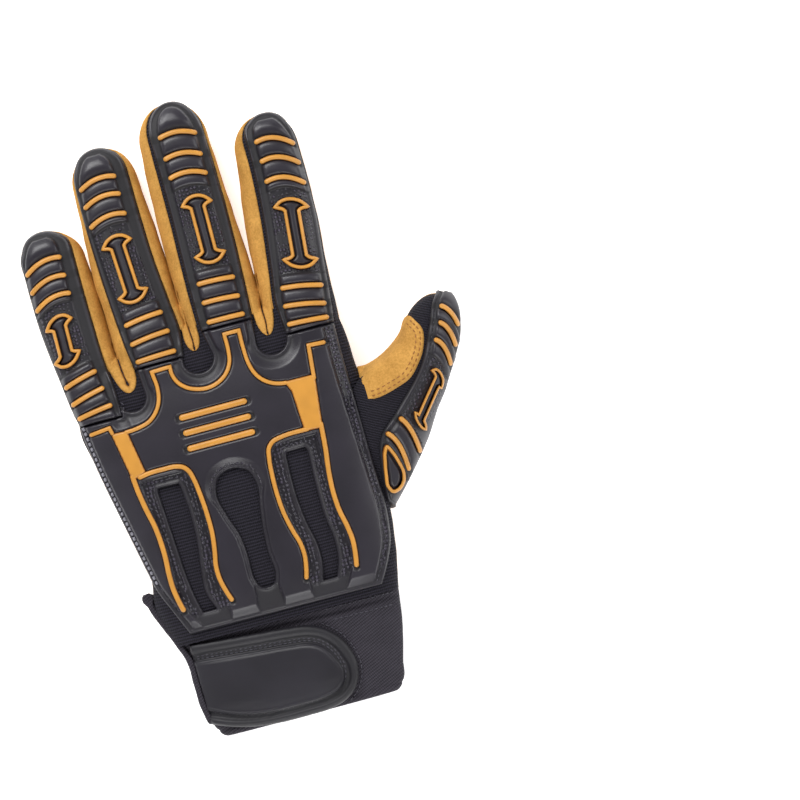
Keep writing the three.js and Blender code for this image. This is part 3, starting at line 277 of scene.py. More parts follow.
def smooth(low, high, value):
    """0 below low, 1 above high, and the cubic 3t^2 - 2t^3 between them."""
    t = np.clip((value - low) / (high - low), 0.0, 1.0)
    return t * t * (3.0 - 2.0 * t)


def bump(centre, width, value):
    """A bell around centre: e to the minus square of the distance over width."""
    return np.exp(-(((value - centre) / width) ** 2))


def between(knots, values, at):
    """Cubic Hermite curve through values at knots, with the slopes of central differences."""
    at = np.clip(np.asarray(at, float), knots[0], knots[-1])
    slopes = np.gradient(values, knots, axis=0)
    i = np.clip(np.searchsorted(knots, at) - 1, 0, len(knots) - 2)
    span = knots[i + 1] - knots[i]
    t = (at - knots[i]) / span
    if values.ndim > 1:
        span, t = span[..., None], t[..., None]
    first = values[i] * (1 + 2 * t) * (1 - t) ** 2 + slopes[i] * span * t * (1 - t) ** 2
    return first + values[i + 1] * t * t * (3 - 2 * t) - slopes[i + 1] * span * t * t * (1 - t)


def table(rows, at):
    """The columns of a table after its first, on the smooth curve through its rows."""
    rows = np.asarray(rows, float)
    return np.moveaxis(between(rows[:, 0], rows[:, 1:], at), -1, 0)


def chords(points):
    """Distance of each point of a line from its first, added up over the chords."""
    return np.concatenate([[0], np.cumsum(np.linalg.norm(np.diff(points, axis=0), axis=1))])


def run(points, step=0.8):
    """A smooth curve through points, sampled about every step, by chord length."""
    points = np.asarray(points, float)
    knots = chords(points)
    if len(points) == 2:
        share = np.linspace(0, 1, max(int(knots[-1] / step), 1) + 1)
        return points[0] + (points[1] - points[0]) * share[:, None]
    return between(knots, points, np.linspace(0, knots[-1], max(int(knots[-1] / step), 2) + 1))


def join(lines):
    """Lines end to end as one, without the points that two of them share."""
    return np.concatenate([lines[0]] + [line[1:] for line in lines[1:]])


def path(*runs, step=0.8):
    """Runs joined end to end, with a corner where two of them meet."""
    return join([run(points, step) for points in runs])


def loop_through(points, step=0.8):
    """A closed smooth curve through points, without its last point repeated."""
    points = np.asarray(points, float)
    wrapped = np.concatenate([points[-3:], points, points[:4]])
    knots = chords(wrapped)
    low, high = knots[3], knots[3 + len(points)]
    count = max(int((high - low) / step), 8)
    return between(knots, wrapped, np.linspace(low, high, count + 1)[:-1])


def segment_distance(x, y, starts, ends):
    """Distance of each point to the nearest of some straight segments."""
    shape = np.shape(x)
    p = np.stack([np.ravel(x), np.ravel(y)], axis=-1)[:, None, :]
    along = ends - starts
    square = np.maximum((along * along).sum(-1), 1e-12)
    best = np.empty(len(p))
    block = 20000
    for first in range(0, len(p), block):
        away = p[first:first + block] - starts[None]
        t = np.clip((away * along[None]).sum(-1) / square, 0, 1)
        best[first:first + block] = np.linalg.norm(away - t[..., None] * along[None], axis=-1).min(1)
    return best.reshape(shape)


def path_distance(x, y, points):
    """Distance of each point to an open path."""
    return segment_distance(x, y, points[:-1], points[1:])


def inside(x, y, points):
    """Whether each point lies in a closed outline, by the even number of edges crossed."""
    ends = np.roll(points, -1, axis=0)
    result = np.zeros(np.shape(x), bool)
    for (ax, ay), (bx, by) in zip(points, ends):
        if ay != by:
            crosses = (ay > y) != (by > y)
            result ^= crosses & (x < (bx - ax) * (y - ay) / (by - ay) + ax)
    return result


def depth_in(x, y, points):
    """Signed distance to a closed outline: positive inside it."""
    away = segment_distance(x, y, points, np.roll(points, -1, axis=0))
    return np.where(inside(x, y, points), away, -away)


# Form of the glove

def tip_shrink(tip, rounding, y):
    """How a section shrinks to nothing at a round tip: a superellipse of TIP_POWER in plan."""
    t = np.clip((y - tip + rounding) / rounding, 0.0, 1.0)
    return (1.0 - t ** TIP_POWER) ** (1.0 / TIP_POWER)


def section(limb, y, grow=0.0):
    """Centre and half size of a limb's section at y: middle x, middle z, half width, half height."""
    left, right, under, top = table(limb["rows"], y)
    shrink = tip_shrink(limb["tip"] + grow, limb["round"] + grow, y)
    half_width, half_height = (right - left) / 2 + grow, (top - under) / 2 + grow
    return (left + right) / 2, (under + top) / 2, half_width * shrink, half_height * shrink


def limb_top(limb, x, y):
    """Height of a limb's back over a point: a superellipse, falling steeply past its edge."""
    middle_x, middle_z, half_width, half_height = section(limb, y)
    half_width = np.maximum(half_width, 0.5)
    out = np.abs(x - middle_x) / half_width
    edge = 0.985
    within = np.minimum(out, edge)
    height = middle_z + half_height * (1.0 - within ** limb["power"]) ** (1.0 / limb["power"])
    height = height - np.maximum(out - edge, 0) * half_width * limb.get("fall", SIDE_FALL)
    start = limb.get("start", -200)
    return height - END_FALL * np.maximum(start - y, 0) - END_FALL * np.maximum(y - limb["tip"], 0)


def tube(limb, y, angle, grow):
    """Points on a limb at an angle round its section, with the section grown.

    x and z follow a superellipse: cosine and sine to the power 2/n, with a flatter n below."""
    middle_x, middle_z, half_width, half_height = section(limb, y, grow)
    power = np.where(np.sin(angle) > 0, limb["power"], UNDER_POWER)
    c, s = np.cos(angle), np.sin(angle)
    x = middle_x + half_width * np.sign(c) * np.abs(c) ** (2 / power)
    z = middle_z + half_height * np.sign(s) * np.abs(s) ** (2 / power)
    return np.stack(np.broadcast_arrays(x, y, z), axis=-1).astype(float)


def smooth_max(a, b, blend):
    """The larger of two heights, rounded where they meet over a stretch of blend."""
    near = np.maximum(blend - np.abs(a - b), 0) / blend
    return np.maximum(a, b) + near * near * blend / 4


def thumb_section(along):
    """Section of the thumb: middle across, middle z, half axes of its tilted ellipse and the tilt."""
    left, right, tilt = table(THUMB_ROWS, along)
    shrink = tip_shrink(THUMB_TIP, THUMB_ROUND, along)
    tilt = np.radians(tilt)
    b = THUMB_DEPTH / 2
    half = (right - left) / 2
    a = np.sqrt(np.maximum(half ** 2 - (b * np.sin(tilt)) ** 2, 1.0)) / np.cos(tilt)
    rise = np.hypot(a * np.sin(tilt), b * np.cos(tilt))
    return (left + right) / 2, THUMB_UNDER + rise, a * shrink, b * shrink, tilt


def thumb_lean(along):
    """How far a lift off the thumb leans forward: the slope of its round tip, as a sine."""
    t = np.clip((along - THUMB_TIP + THUMB_ROUND) / THUMB_ROUND, 0.0, 0.995)
    fall = THUMB_DEPTH / 2 * t ** (TIP_POWER - 1) * (1 - t ** TIP_POWER) ** (1 / TIP_POWER - 1)
    return fall / np.hypot(THUMB_ROUND, fall)


def thumb_point(along, turn, lift=0.0):
    """Points on the thumb. turn is 0 at its outer silhouette and grows over its back to the inner one."""
    middle, middle_z, a, b, tilt = thumb_section(along)
    lean = thumb_lean(along)
    along, lift = along + lift * lean, lift * np.sqrt(1 - lean ** 2)
    a, b = np.maximum(a, 1e-3), np.maximum(b, 1e-3)
    angle = np.arctan2(b * np.sin(tilt), a * np.cos(tilt)) + turn
    c, s = np.cos(angle), np.sin(angle)
    length = np.hypot(c / a, s / b)
    u = a * c + lift * c / a / length
    v = b * s + lift * s / b / length
    across = middle + u * np.cos(tilt) + v * np.sin(tilt)
    z = middle_z - u * np.sin(tilt) + v * np.cos(tilt)
    sin, cos = math.sin(THUMB_ANGLE), math.cos(THUMB_ANGLE)
    x = THUMB_ROOT[0] + along * sin + across * cos
    y = THUMB_ROOT[1] + along * cos - across * sin
    return np.stack(np.broadcast_arrays(x, y, z), axis=-1)


def thumb_width(along):
    """Middle and half width of the thumb, seen from above."""
    middle, _, a, b, tilt = thumb_section(along)
    return middle, np.maximum(np.hypot(a * np.cos(tilt), b * np.sin(tilt)), 1e-3)


def thumb_turn(along, across):
    """The turn at which the thumb lies at a distance across, seen from above."""
    middle, half = thumb_width(along)
    return np.arccos(np.clip((across - middle) / half, -1, 1))


def thumb_coordinates(x, y):
    """Distance along and across the thumb of a point seen from above."""
    dx, dy = x - THUMB_ROOT[0], y - THUMB_ROOT[1]
    sin, cos = math.sin(THUMB_ANGLE), math.cos(THUMB_ANGLE)
    return dx * sin + dy * cos, dx * cos - dy * sin


def thumb_plan(along, across):
    """Plan points of places along and across the thumb: the inverse of thumb_coordinates."""
    sin, cos = math.sin(THUMB_ANGLE), math.cos(THUMB_ANGLE)
    return THUMB_ROOT + np.stack([along * sin + across * cos, along * cos - across * sin], axis=-1)


def thumb_top(x, y):
    """Height of the thumb's back over a point, falling steeply past its edge."""
    along, across = thumb_coordinates(x, y)
    middle, half = thumb_width(along)
    past = np.maximum(np.abs(across - middle) - WITHIN * half, 0)
    inner = middle + np.clip(across - middle, -WITHIN * half, WITHIN * half)
    height = thumb_point(along, thumb_turn(along, inner))[..., 2]
    ends = np.maximum(THUMB_ROWS[0][0] - along, 0), np.maximum(along - THUMB_TIP, 0)
    return height - SIDE_FALL * past - END_FALL * ends[0] - END_FALL * ends[1]


def thumb_shoulder(turn):
    """Share of its full height that the thumb guard has at a turn: none at the outer silhouette."""
    return smooth(0.05, 0.7, turn)


def lay_on_thumb(x, y, lift, thin):
    """Points lifted off the thumb that end up over x and y. The part of the lift above thin fades out
    towards the silhouette, so the turn and the lift are found together in a few rounds."""
    along, across = thumb_coordinates(x, y)
    along = along - lift * thumb_lean(along - lift * thumb_lean(along))
    middle, half = thumb_width(along)
    height = lift
    for _ in range(3):
        turn = np.arccos(np.clip((across - middle) / (half + height), -1, 1))
        height = thin + (lift - thin) * thumb_shoulder(turn)
    return thumb_point(along, turn, height)


def back_surface(x, y):
    """Height of the glove's back: the hand, the fingers and the thumb's root, blended."""
    height = smooth_max(limb_top(HAND, x, y), thumb_top(x, y), BLEND)
    for finger in FINGERS.values():
        height = smooth_max(height, limb_top(finger, x, y), BLEND)
    return height


def cuff_surface(x, y):
    """Height of the cuff's upper side."""
    return limb_top(CUFF, x, y)


def drawn_in(finger, x, y):
    """Plan points drawn in to just within a finger's outline, towards the middle of its round tip, and
    how far they were outside. The outline's radius is 1 in the superellipse of its tip."""
    left, right, _, _ = table(finger["rows"], y)
    middle, half, start = (left + right) / 2, (right - left) / 2, finger["tip"] - finger["round"]
    across, ahead = (x - middle) / half, np.maximum(y - start, 0) / finger["round"]
    radius = (np.abs(across) ** TIP_POWER + ahead ** TIP_POWER) ** (1 / TIP_POWER)
    pull = np.minimum(1, WITHIN / np.maximum(radius, 0.1))
    at_y = np.where(ahead > 0, start + ahead * pull * finger["round"], y)
    return middle + across * pull * half, at_y, np.maximum(radius - WITHIN, 0) * finger["round"]


def finger_surface(finger):
    """Height of a finger's back where its guard lies: the finger blended into the hand, with an even
    steep fall all round the tip."""
    def height(x, y):
        at_x, at_y, outside = drawn_in(finger, x, y)
        return smooth_max(limb_top(HAND, x, y), limb_top(finger, at_x, at_y) - SIDE_FALL * outside, 2.0)
    return height


def lay_on(surface, x, y, lift):
    """Points lifted square to a surface that end up over x and y, so that relief keeps its plan: the
    foot of each lift is moved back by its lean. The slope counts up to a limit, so that an edge over
    a side does not fold."""
    step, limit = 0.4, 2.2
    foot_x, foot_y = x, y
    for _ in range(2):
        rise_x = surface(foot_x + step, foot_y) - surface(foot_x - step, foot_y)
        rise_y = surface(foot_x, foot_y + step) - surface(foot_x, foot_y - step)
        slope_x, slope_y = (np.clip(rise / (2 * step), -limit, limit) for rise in (rise_x, rise_y))
        upright = 1 / np.sqrt(1 + slope_x ** 2 + slope_y ** 2)
        foot_x, foot_y = x + slope_x * upright * lift, y + slope_y * upright * lift
    z = surface(foot_x, foot_y) + upright * lift
    return np.stack(np.broadcast_arrays(x, y, z), axis=-1)


# Meshes

def grid_faces(rows, columns, wrap=False, flip=False):
    """Four-cornered faces of a grid of points, joined round across its columns when wrap is set."""
    i = np.arange(rows - 1)[:, None] * columns
    j = np.arange(columns if wrap else columns - 1)[None, :]
    k = (j + 1) % columns
    faces = np.stack([i + j, i + k, i + columns + k, i + columns + j], axis=-1).reshape(-1, 4)
    return faces[:, ::-1] if flip else faces


def gather(parts):
    """Several (points, faces, attribute) lists as one."""
    points, faces, values, start = [], [], [], 0
    for part_points, part_faces, part_values in parts:
        flat = part_points.reshape(-1, 3)
        points.append(flat)
        faces.append(part_faces + start)
        values.append(np.broadcast_to(part_values, part_points.shape[:-1]).ravel())
        start += len(flat)
    return np.concatenate(points), np.concatenate(faces), np.concatenate(values)


def build(name, points, faces, material, nodes=(), marks=None, closed=False):
    """A mesh object from points in drawing millimetres, with its doubles merged.

    marks holds names with one value a point, kept as attributes that the material reads. The faces
    of a closed piece are turned outward here; an open one has them so from the start."""
    mesh = bpy.data.meshes.new(name)
    metres = (points.reshape(-1, 3) + SHIFT) / 1000.0
    mesh.from_pydata(metres.tolist(), [], faces.tolist())
    for key, values in (marks or {}).items():
        layer = mesh.attributes.new(key, "FLOAT", "POINT")
        layer.data.foreach_set("value", np.ravel(values).astype(np.float32))
    work = bmesh.new()
    work.from_mesh(mesh)
    bmesh.ops.remove_doubles(work, verts=work.verts, dist=2e-6)
    if closed:
        bmesh.ops.recalc_face_normals(work, faces=work.faces)
    work.to_mesh(mesh)
    work.free()
    mesh.polygons.foreach_set("use_smooth", np.ones(len(mesh.polygons), bool))
    mesh.materials.append(material)
    piece = bpy.data.objects.new(name, mesh)
    bpy.context.scene.collection.objects.link(piece)
    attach(piece, "root")
    if nodes:
        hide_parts(*nodes)
    return piece


def thicken(piece, thickness):
    """Gives a sheet a wall, grown inward from it."""
    solid = piece.modifiers.new("Wall", "SOLIDIFY")
    solid.thickness = thickness / 1000.0
    solid.offset = -1.0


# Cross profile of a ribbon: share of its half width and share of its height
PROFILE_OUT = np.array([-1.0, -1.0, -0.9, -0.68, -0.36, 0.0, 0.36, 0.68, 0.9, 1.0, 1.0])
PROFILE_UP = np.array([0.0, 0.5, 0.74, 0.9, 0.98, 1.0, 0.98, 0.9, 0.74, 0.5, 0.0])
SHARPEST_MITRE = 0.78  # cosine of half the turn of a corner, down to which the ribbon keeps its width


def ribbon(line, width, low, high, place, closed=False):
    """A bar carried along a line: at each point of the line the rounded profile stands square to it.

    The place function puts plan points at a height onto the glove. An open ribbon narrows to its ends
    by the square root of 1 minus the square of the distance into the last half width."""
    if not closed:
        ends = width / 2
        at = chords(line)
        extra = ends * np.array([0.03, 0.13, 0.3, 0.6, 1.0])
        wanted = np.unique(np.round(np.concatenate([at, extra, at[-1] - extra]), 4))
        line = np.stack([np.interp(wanted, at, line[:, 0]), np.interp(wanted, at, line[:, 1])], axis=1)
        inward = np.clip(np.minimum(wanted, wanted[-1] - wanted) / ends, 0, 1)
        narrow = np.sqrt(np.maximum(1 - (1 - inward) ** 2, 0))
        before = np.diff(line, axis=0, prepend=2 * line[:1] - line[1:2])
        after = np.diff(line, axis=0, append=2 * line[-1:] - line[-2:-1])
    else:
        narrow = np.ones(len(line))
        before = line - np.roll(line, 1, axis=0)
        after = np.roll(line, -1, axis=0) - line
    before, after = unit(before), unit(after)
    middle = unit(before + after)
    square = np.stack([-middle[:, 1], middle[:, 0]], axis=1)
    mitre = (square * np.stack([-before[:, 1], before[:, 0]], axis=1)).sum(1)
    reach = 1 / np.maximum(mitre, SHARPEST_MITRE)
    out = PROFILE_OUT[None] * (width / 2 * narrow * reach)[:, None]
    x = line[:, :1] + square[:, :1] * out
    y = line[:, 1:] + square[:, 1:] * out
    height = low + PROFILE_UP[None] * ((high - low) * (0.55 + 0.45 * narrow))[:, None]
    points = place(x, y, height)
    # The mark "edge" is 1 on the low sides of the profile: there the orange material paints shade.
    edge = np.broadcast_to(1 - smooth(0.52, 0.93, PROFILE_UP), x.shape)
    if closed:
        points = np.concatenate([points, points[:1]])
        edge = np.concatenate([edge, edge[:1]])
    return points, grid_faces(*points.shape[:2], wrap=True), edge


# One stitch: a capsule that bulges over the cloth, as rings along it
STITCH_AT = np.array([-1.0, -0.82, 0.0, 0.82, 1.0])
STITCH_THICK = np.array([0.25, 0.8, 1.0, 0.8, 0.25])


def stitches(name, lines, pitch, length, radius, material, slot):
    """Stitches in rows: copies of a six-sided capsule at even steps along lines of (points, normals)."""
    turn = np.linspace(0, 2 * np.pi, 7)[:-1]
    parts = []
    for line, normals in lines:
        at = chords(line)
        count = int(at[-1] / pitch)
        if count < 1:
            continue
        middles = (np.arange(count) + 0.5) * at[-1] / count
        read = lambda values, where: np.stack([np.interp(where, at, values[:, k]) for k in range(3)], axis=1)
        centre, normal = read(line, middles), unit(read(normals, middles))
        along = unit(read(line, middles + 0.2) - read(line, middles - 0.2))
        side = unit(np.cross(along, normal))
        centre, normal, along, side = (v[:, None, None, :] for v in (centre, normal, along, side))
        ring = np.cos(turn)[:, None] * side + 0.8 * np.sin(turn)[:, None] * normal
        ring = ring * (STITCH_THICK * radius)[:, None, None]
        sink = (STITCH_AT ** 2 * radius * 0.7)[:, None, None] * normal
        lie = STITCH_AT[:, None, None] * length / 2 * along
        points = centre + lie + ring - sink
        rings, sides = len(STITCH_AT), len(turn)
        faces = grid_faces(rings, sides, wrap=True, flip=True)
        faces = faces[None] + (np.arange(count) * rings * sides)[:, None, None]
        parts.append((points, faces.reshape(-1, 4), 0.0))
    points, faces, _ = gather(parts)
    build(name, points, faces, material)


def line_on(surface, line, lift):
    """A plan line as points over a surface with the normals there."""
    low, high = (lay_on(surface, *line.T, np.full(len(line), at)) for at in (lift, lift + 1.0))
    return low, high - low


# Materials

def linear(code):
    """A colour written as sRGB hex, as linear red, green and blue."""
    parts = [int(code[i:i + 2], 16) / 255 for i in (1, 3, 5)]
    return tuple(c / 12.92 if c <= 0.04045 else ((c + 0.055) / 1.055) ** 2.4 for c in parts)


def add(tree, kind, inputs=None, **settings):
    """Adds a node, sets its properties, and sets or links its inputs by name or number."""
    node = tree.nodes.new("ShaderNode" + kind)
    for key, value in settings.items():
        setattr(node, key, value)
    for key, value in (inputs or {}).items():
        if isinstance(value, bpy.types.NodeSocket):
            tree.links.new(value, node.inputs[key])
        else:
            node.inputs[key].default_value = value
    return node


def new_material(name):
    """The empty node tree of a new material."""
    material = bpy.data.materials.new(name)
    material.use_nodes = True
    material.node_tree.nodes.clear()
    return material.node_tree


def coordinates(tree, turn=0.0):
    """Object coordinates, turned about the vertical."""
    source = add(tree, "TexCoord").outputs["Object"]
    return add(tree, "Mapping", {"Vector": source, "Rotation": (0, 0, turn)}).outputs["Vector"]


def grains(size):
    """Scale of a noise texture whose grains measure about size millimetres."""
    return 1000.0 / size


def pitch_scale(pitch):
    """Scale of a wave texture whose ribs lie pitch millimetres apart: it has 20 radians to a unit."""
    return 2 * math.pi / 20 / (pitch / 1000)


def tinted(colour, *shares):
    """A colour as red, green, blue and alpha, darker or lighter by a share, or by three of them."""
    shares = shares if len(shares) == 3 else shares * 3
    return (*[min(c * k, 1.0) for c, k in zip(colour, shares)], 1.0)


def two_tone(tree, value, low, high, dark, light):
    """A colour that runs from dark to light while a value runs from low to high."""
    share = add(tree, "MapRange", {"Value": value, "From Min": low, "From Max": high}).outputs["Result"]
    return add(tree, "Mix", {"Factor": share, 6: dark, 7: light}, data_type="RGBA").outputs[2]


def finish(tree, colour, inputs, *layers):
    """Ends a material: its shader with a base colour and other inputs, over bumps on top of each
    other, which are pairs of a height from 0 to 1 and its depth in millimetres."""
    normal = {}
    for height, depth in layers:
        layer = add(tree, "Bump", {"Height": height, "Distance": depth / 1000.0, **normal})
        normal = {"Normal": layer.outputs["Normal"]}
    shader = add(tree, "BsdfPrincipled", {"Base Color": colour, **inputs, **normal})
    add(tree, "OutputMaterial", {"Surface": shader.outputs["BSDF"]})


def suede_material(colour):
    """Split cowhide, brushed to a nap: fine fibres lie in soft patches, with no gloss at all. The mark
    "low" is 1 in a crease, where the colour is darkened to a near black brown as painted shade."""
    tree = new_material("suede_split_leather")
    where = coordinates(tree)
    nap = add(tree, "TexNoise", {"Vector": where, "Scale": grains(0.9), "Detail": 3.0, "Roughness": 0.7})
    patches = add(tree, "TexNoise", {"Vector": where, "Scale": grains(7.0), "Detail": 2.0})
    tone = add(tree, "Mix", {0: 0.42, 2: nap.outputs["Fac"], 3: patches.outputs["Fac"]}).outputs[0]
    top = two_tone(tree, tone, 0.36, 0.64, tinted(colour, 0.74, 0.7, 0.62), tinted(colour, 1.16))
    low = add(tree, "Attribute", attribute_name="low").outputs["Fac"]
    # Painted shade: the mark "low" darkens a crease towards a near black brown.
    crease = {"Factor": low, 6: top, 7: tinted(colour, 0.3, 0.2, 0.12)}
    shaded_in_crease = add(tree, "Mix", crease, data_type="RGBA")
    inputs = {"Roughness": 0.95, "Specular IOR Level": 0.2, "Sheen Weight": 0.25, "Sheen Roughness": 0.5,
              "Sheen Tint": tinted(colour, 1.16)}
    finish(tree, shaded_in_crease.outputs[2], inputs, (patches.outputs["Fac"], 0.25), (nap.outputs["Fac"], 0.12))


def knit_material(name, colour, pitch, turn=0.0):
    """Nylon rib knit: rounded ribs of pitch millimetres with finer loops across them, drawn a little
    coarser than the real 0.5 mm loops so that they show."""
    tree = new_material(name)
    where = coordinates(tree, turn)
    rib = {"Vector": where, "Scale": pitch_scale(pitch), "Distortion": 0.9, "Detail": 1.0}
    ribs = add(tree, "TexWave", rib, bands_direction="Y")
    loop = {"Vector": where, "Scale": pitch_scale(pitch * 0.62), "Distortion": 1.4, "Detail": 1.0}
    loops = add(tree, "TexWave", loop, bands_direction="X")
    height = add(tree, "Mix", {0: 0.33, 2: ribs.outputs["Fac"], 3: loops.outputs["Fac"]}).outputs[0]
    fuzz = add(tree, "TexNoise", {"Vector": where, "Scale": grains(0.35), "Detail": 1.0})
    # Painted highlight and shade: the colour follows the ribs' height, lighter on their tops and darker in the
    # valleys between them.
    top = two_tone(tree, height, 0.1, 0.95, tinted(colour, 0.3), tinted(colour, 2.1))
    inputs = {"Roughness": 0.85, "Specular IOR Level": 0.25}
    finish(tree, top, inputs, (height, 0.4), (fuzz.outputs["Fac"], 0.05))


def rubber_material(name, colour, roughness):
    """Moulded thermoplastic rubber, satin from a fine spark-eroded mould. Where the mark "grip" is 1
    the mould is pimpled: small round dots, coloured lighter as painted highlight, between lows coloured
    darker as painted shade. Where the mark "low" is 1, in a groove or on a stitched edge, the colour is
    darkened as painted shade and the surface is rougher."""
    tree = new_material(name)
    where = coordinates(tree)
    grip = add(tree, "Attribute", attribute_name="grip").outputs["Fac"]
    low = add(tree, "Attribute", attribute_name="low").outputs["Fac"]
    cells = add(tree, "TexVoronoi", {"Vector": where, "Scale": grains(1.7), "Randomness": 0.35})
    dots = add(tree, "MapRange", {"Value": cells.outputs["Distance"], "From Min": 0.5, "From Max": 0.22})
    raised = add(tree, "Math", {0: dots.outputs["Result"], 1: grip}, operation="MULTIPLY")
    grain = add(tree, "TexNoise", {"Vector": where, "Scale": grains(0.5), "Detail": 2.0, "Roughness": 0.6})
    cloud = add(tree, "TexNoise", {"Vector": where, "Scale": grains(14.0), "Detail": 1.0})
    plain = two_tone(tree, cloud.outputs["Fac"], 0.3, 0.7, tinted(colour, 0.85), tinted(colour, 1.15))
    # Painted highlight and shade: the pimples are coloured lighter and the lows between them darker.
    dotted = {"Factor": dots.outputs["Result"], 6: tinted(colour, 0.55), 7: tinted(colour, 3.4)}
    pimpled = add(tree, "Mix", dotted, data_type="RGBA")
    both = {"Factor": grip, 6: plain, 7: pimpled.outputs[2]}
    surface = add(tree, "Mix", both, data_type="RGBA")
    # Painted shade: where the mark "low" is 1 the colour is darkened to a quarter of the rubber's.
    shaded_low = {"Factor": low, 6: surface.outputs[2], 7: tinted(colour, 0.25)}
    mix = add(tree, "Mix", shaded_low, data_type="RGBA")
    gloss = {"Value": grain.outputs["Fac"], "To Min": roughness - 0.05, "To Max": roughness + 0.08}
    polish = add(tree, "MapRange", gloss)
    matt = add(tree, "Math", {0: low, 1: 0.3, 2: polish.outputs["Result"]}, operation="MULTIPLY_ADD")
    inputs = {"Roughness": matt.outputs[0], "Specular IOR Level": 0.5}
    finish(tree, mix.outputs[2], inputs, (raised.outputs[0], 0.6), (grain.outputs["Fac"], 0.025))


def orange_material(colour, shaded_side_colour):
    """The same rubber in orange, moulded in a second shot: rounded satin bars whose sides, by the mark "edge",
    are painted a deeper orange brown where they stand in their grooves: painted shade."""
    tree = new_material("moulded_rubber_orange")
    where = coordinates(tree)
    edge = add(tree, "Attribute", attribute_name="edge").outputs["Fac"]
    grain = add(tree, "TexNoise", {"Vector": where, "Scale": grains(0.5), "Detail": 2.0, "Roughness": 0.6})
    cloud = add(tree, "TexNoise", {"Vector": where, "Scale": grains(6.0), "Detail": 1.0})
    top = two_tone(tree, cloud.outputs["Fac"], 0.3, 0.7, tinted(colour, 0.92), tinted(colour, 1.05))
    # Painted shade: the mark "edge" turns the bars' sides to the deeper orange brown.
    sides = {"Factor": edge, 6: top, 7: tinted(shaded_side_colour, 1.0)}
    mix = add(tree, "Mix", sides, data_type="RGBA")
    finish(tree, mix.outputs[2], {"Roughness": 0.42}, (grain.outputs["Fac"], 0.02))


def twill_material(colour):
    """Woven elastic: a steep diagonal twill of thick yarns, matt, with each wale coloured lighter on its
    ridge and darker between: painted highlight and shade. The wales are drawn at 1.1 mm, about twice
    the real ones, so that they show."""
    tree = new_material("woven_elastic")
    where = coordinates(tree, math.radians(-24))
    wale = {"Vector": where, "Scale": pitch_scale(1.1), "Distortion": 0.8, "Detail": 1.0}
    wales = add(tree, "TexWave", wale, bands_direction="Y")
    pick = {"Vector": where, "Scale": pitch_scale(0.8), "Distortion": 0.6, "Detail": 1.0}
    weft = add(tree, "TexWave", pick, bands_direction="X")
    fade = add(tree, "TexNoise", {"Vector": where, "Scale": grains(9.0), "Detail": 2.0})
    height = add(tree, "Mix", {0: 0.4, 2: wales.outputs["Fac"], 3: weft.outputs["Fac"]}).outputs[0]
    tone = add(tree, "Mix", {0: 0.3, 2: height, 3: fade.outputs["Fac"]}).outputs[0]
    # Painted highlight and shade from the wales' height, mixed with a random fade of tone.
    top = two_tone(tree, tone, 0.15, 0.85, tinted(colour, 0.45), tinted(colour, 1.8))
    finish(tree, top, {"Roughness": 0.8, "Specular IOR Level": 0.25}, (height, 0.22))


def thread_material(name, colour, roughness):
    """Twisted nylon sewing thread: plies 0.3 mm apart, with a soft shine."""
    tree = new_material(name)
    where = coordinates(tree, math.radians(40))
    twist = add(tree, "TexWave", {"Vector": where, "Scale": pitch_scale(0.3)}, bands_direction="DIAGONAL")
    # Painted highlight and shade: each ply of the twist is coloured lighter on its crown and darker between.
    blend = {"Factor": twist.outputs["Fac"], 6: tinted(colour, 0.6), 7: tinted(colour, 1.25)}
    mix = add(tree, "Mix", blend, data_type="RGBA")
    finish(tree, mix.outputs[2], {"Roughness": roughness}, (twist.outputs["Fac"], 0.05))


def floor_material(glow):
    """Matt white acrylic of a light table, with the faintest unevenness. Its own soft glow takes the
    shadow off the glove's edge, as for a cut-out picture."""
    tree = new_material("white_acrylic")
    where = coordinates(tree)
    cloud = add(tree, "TexNoise", {"Vector": where, "Scale": grains(300.0), "Detail": 1.0})
    blend = {"Factor": cloud.outputs["Fac"], 6: (*linear("#fafafa"), 1), 7: (*linear("#fefefe"), 1)}
    mix = add(tree, "Mix", blend, data_type="RGBA")
    finish(tree, mix.outputs[2], {"Roughness": 0.9, "Specular IOR Level": 0.1,
                                  "Emission Color": (1, 1, 1, 1), "Emission Strength": glow})


# Hand guard

GUARD_LEFT = [
    (-67.4, 18.75), (-64.8, 0), (-61, -20), (-57, -40), (-56, -45), (-54.5, -52), (-50, -63), (-45.2, -74.3),
]
GUARD_RIGHT = [
    (36, -75), (40, -68), (44.2, -58), (45.4, -50), (45.3, -20), (45, 0), (44.6, 20), (44.6, 33.75),
]
# Where two fingers part, the guard has a round notch: its middle, its radius and its two upper ends
NOTCHES = [
    {"x": -43.0, "y": 25.2, "radius": 5.7, "left": (-48.8, 18.75), "right": (-38.2, 35.75)},
    {"x": -12.7, "y": 34.0, "radius": 6.2, "left": (-18.6, 35.75), "right": (-8.6, 43.75)},
    {"x": 18.2, "y": 33.6, "radius": 6.2, "left": (12.6, 43.75), "right": (24.4, 33.75)},
]
# The straight edges beside and between them, each from its left end to its right end
TOPS = list(zip([GUARD_LEFT[0], *(notch["right"] for notch in NOTCHES)],
                [*(notch["left"] for notch in NOTCHES), GUARD_RIGHT[-1]]))
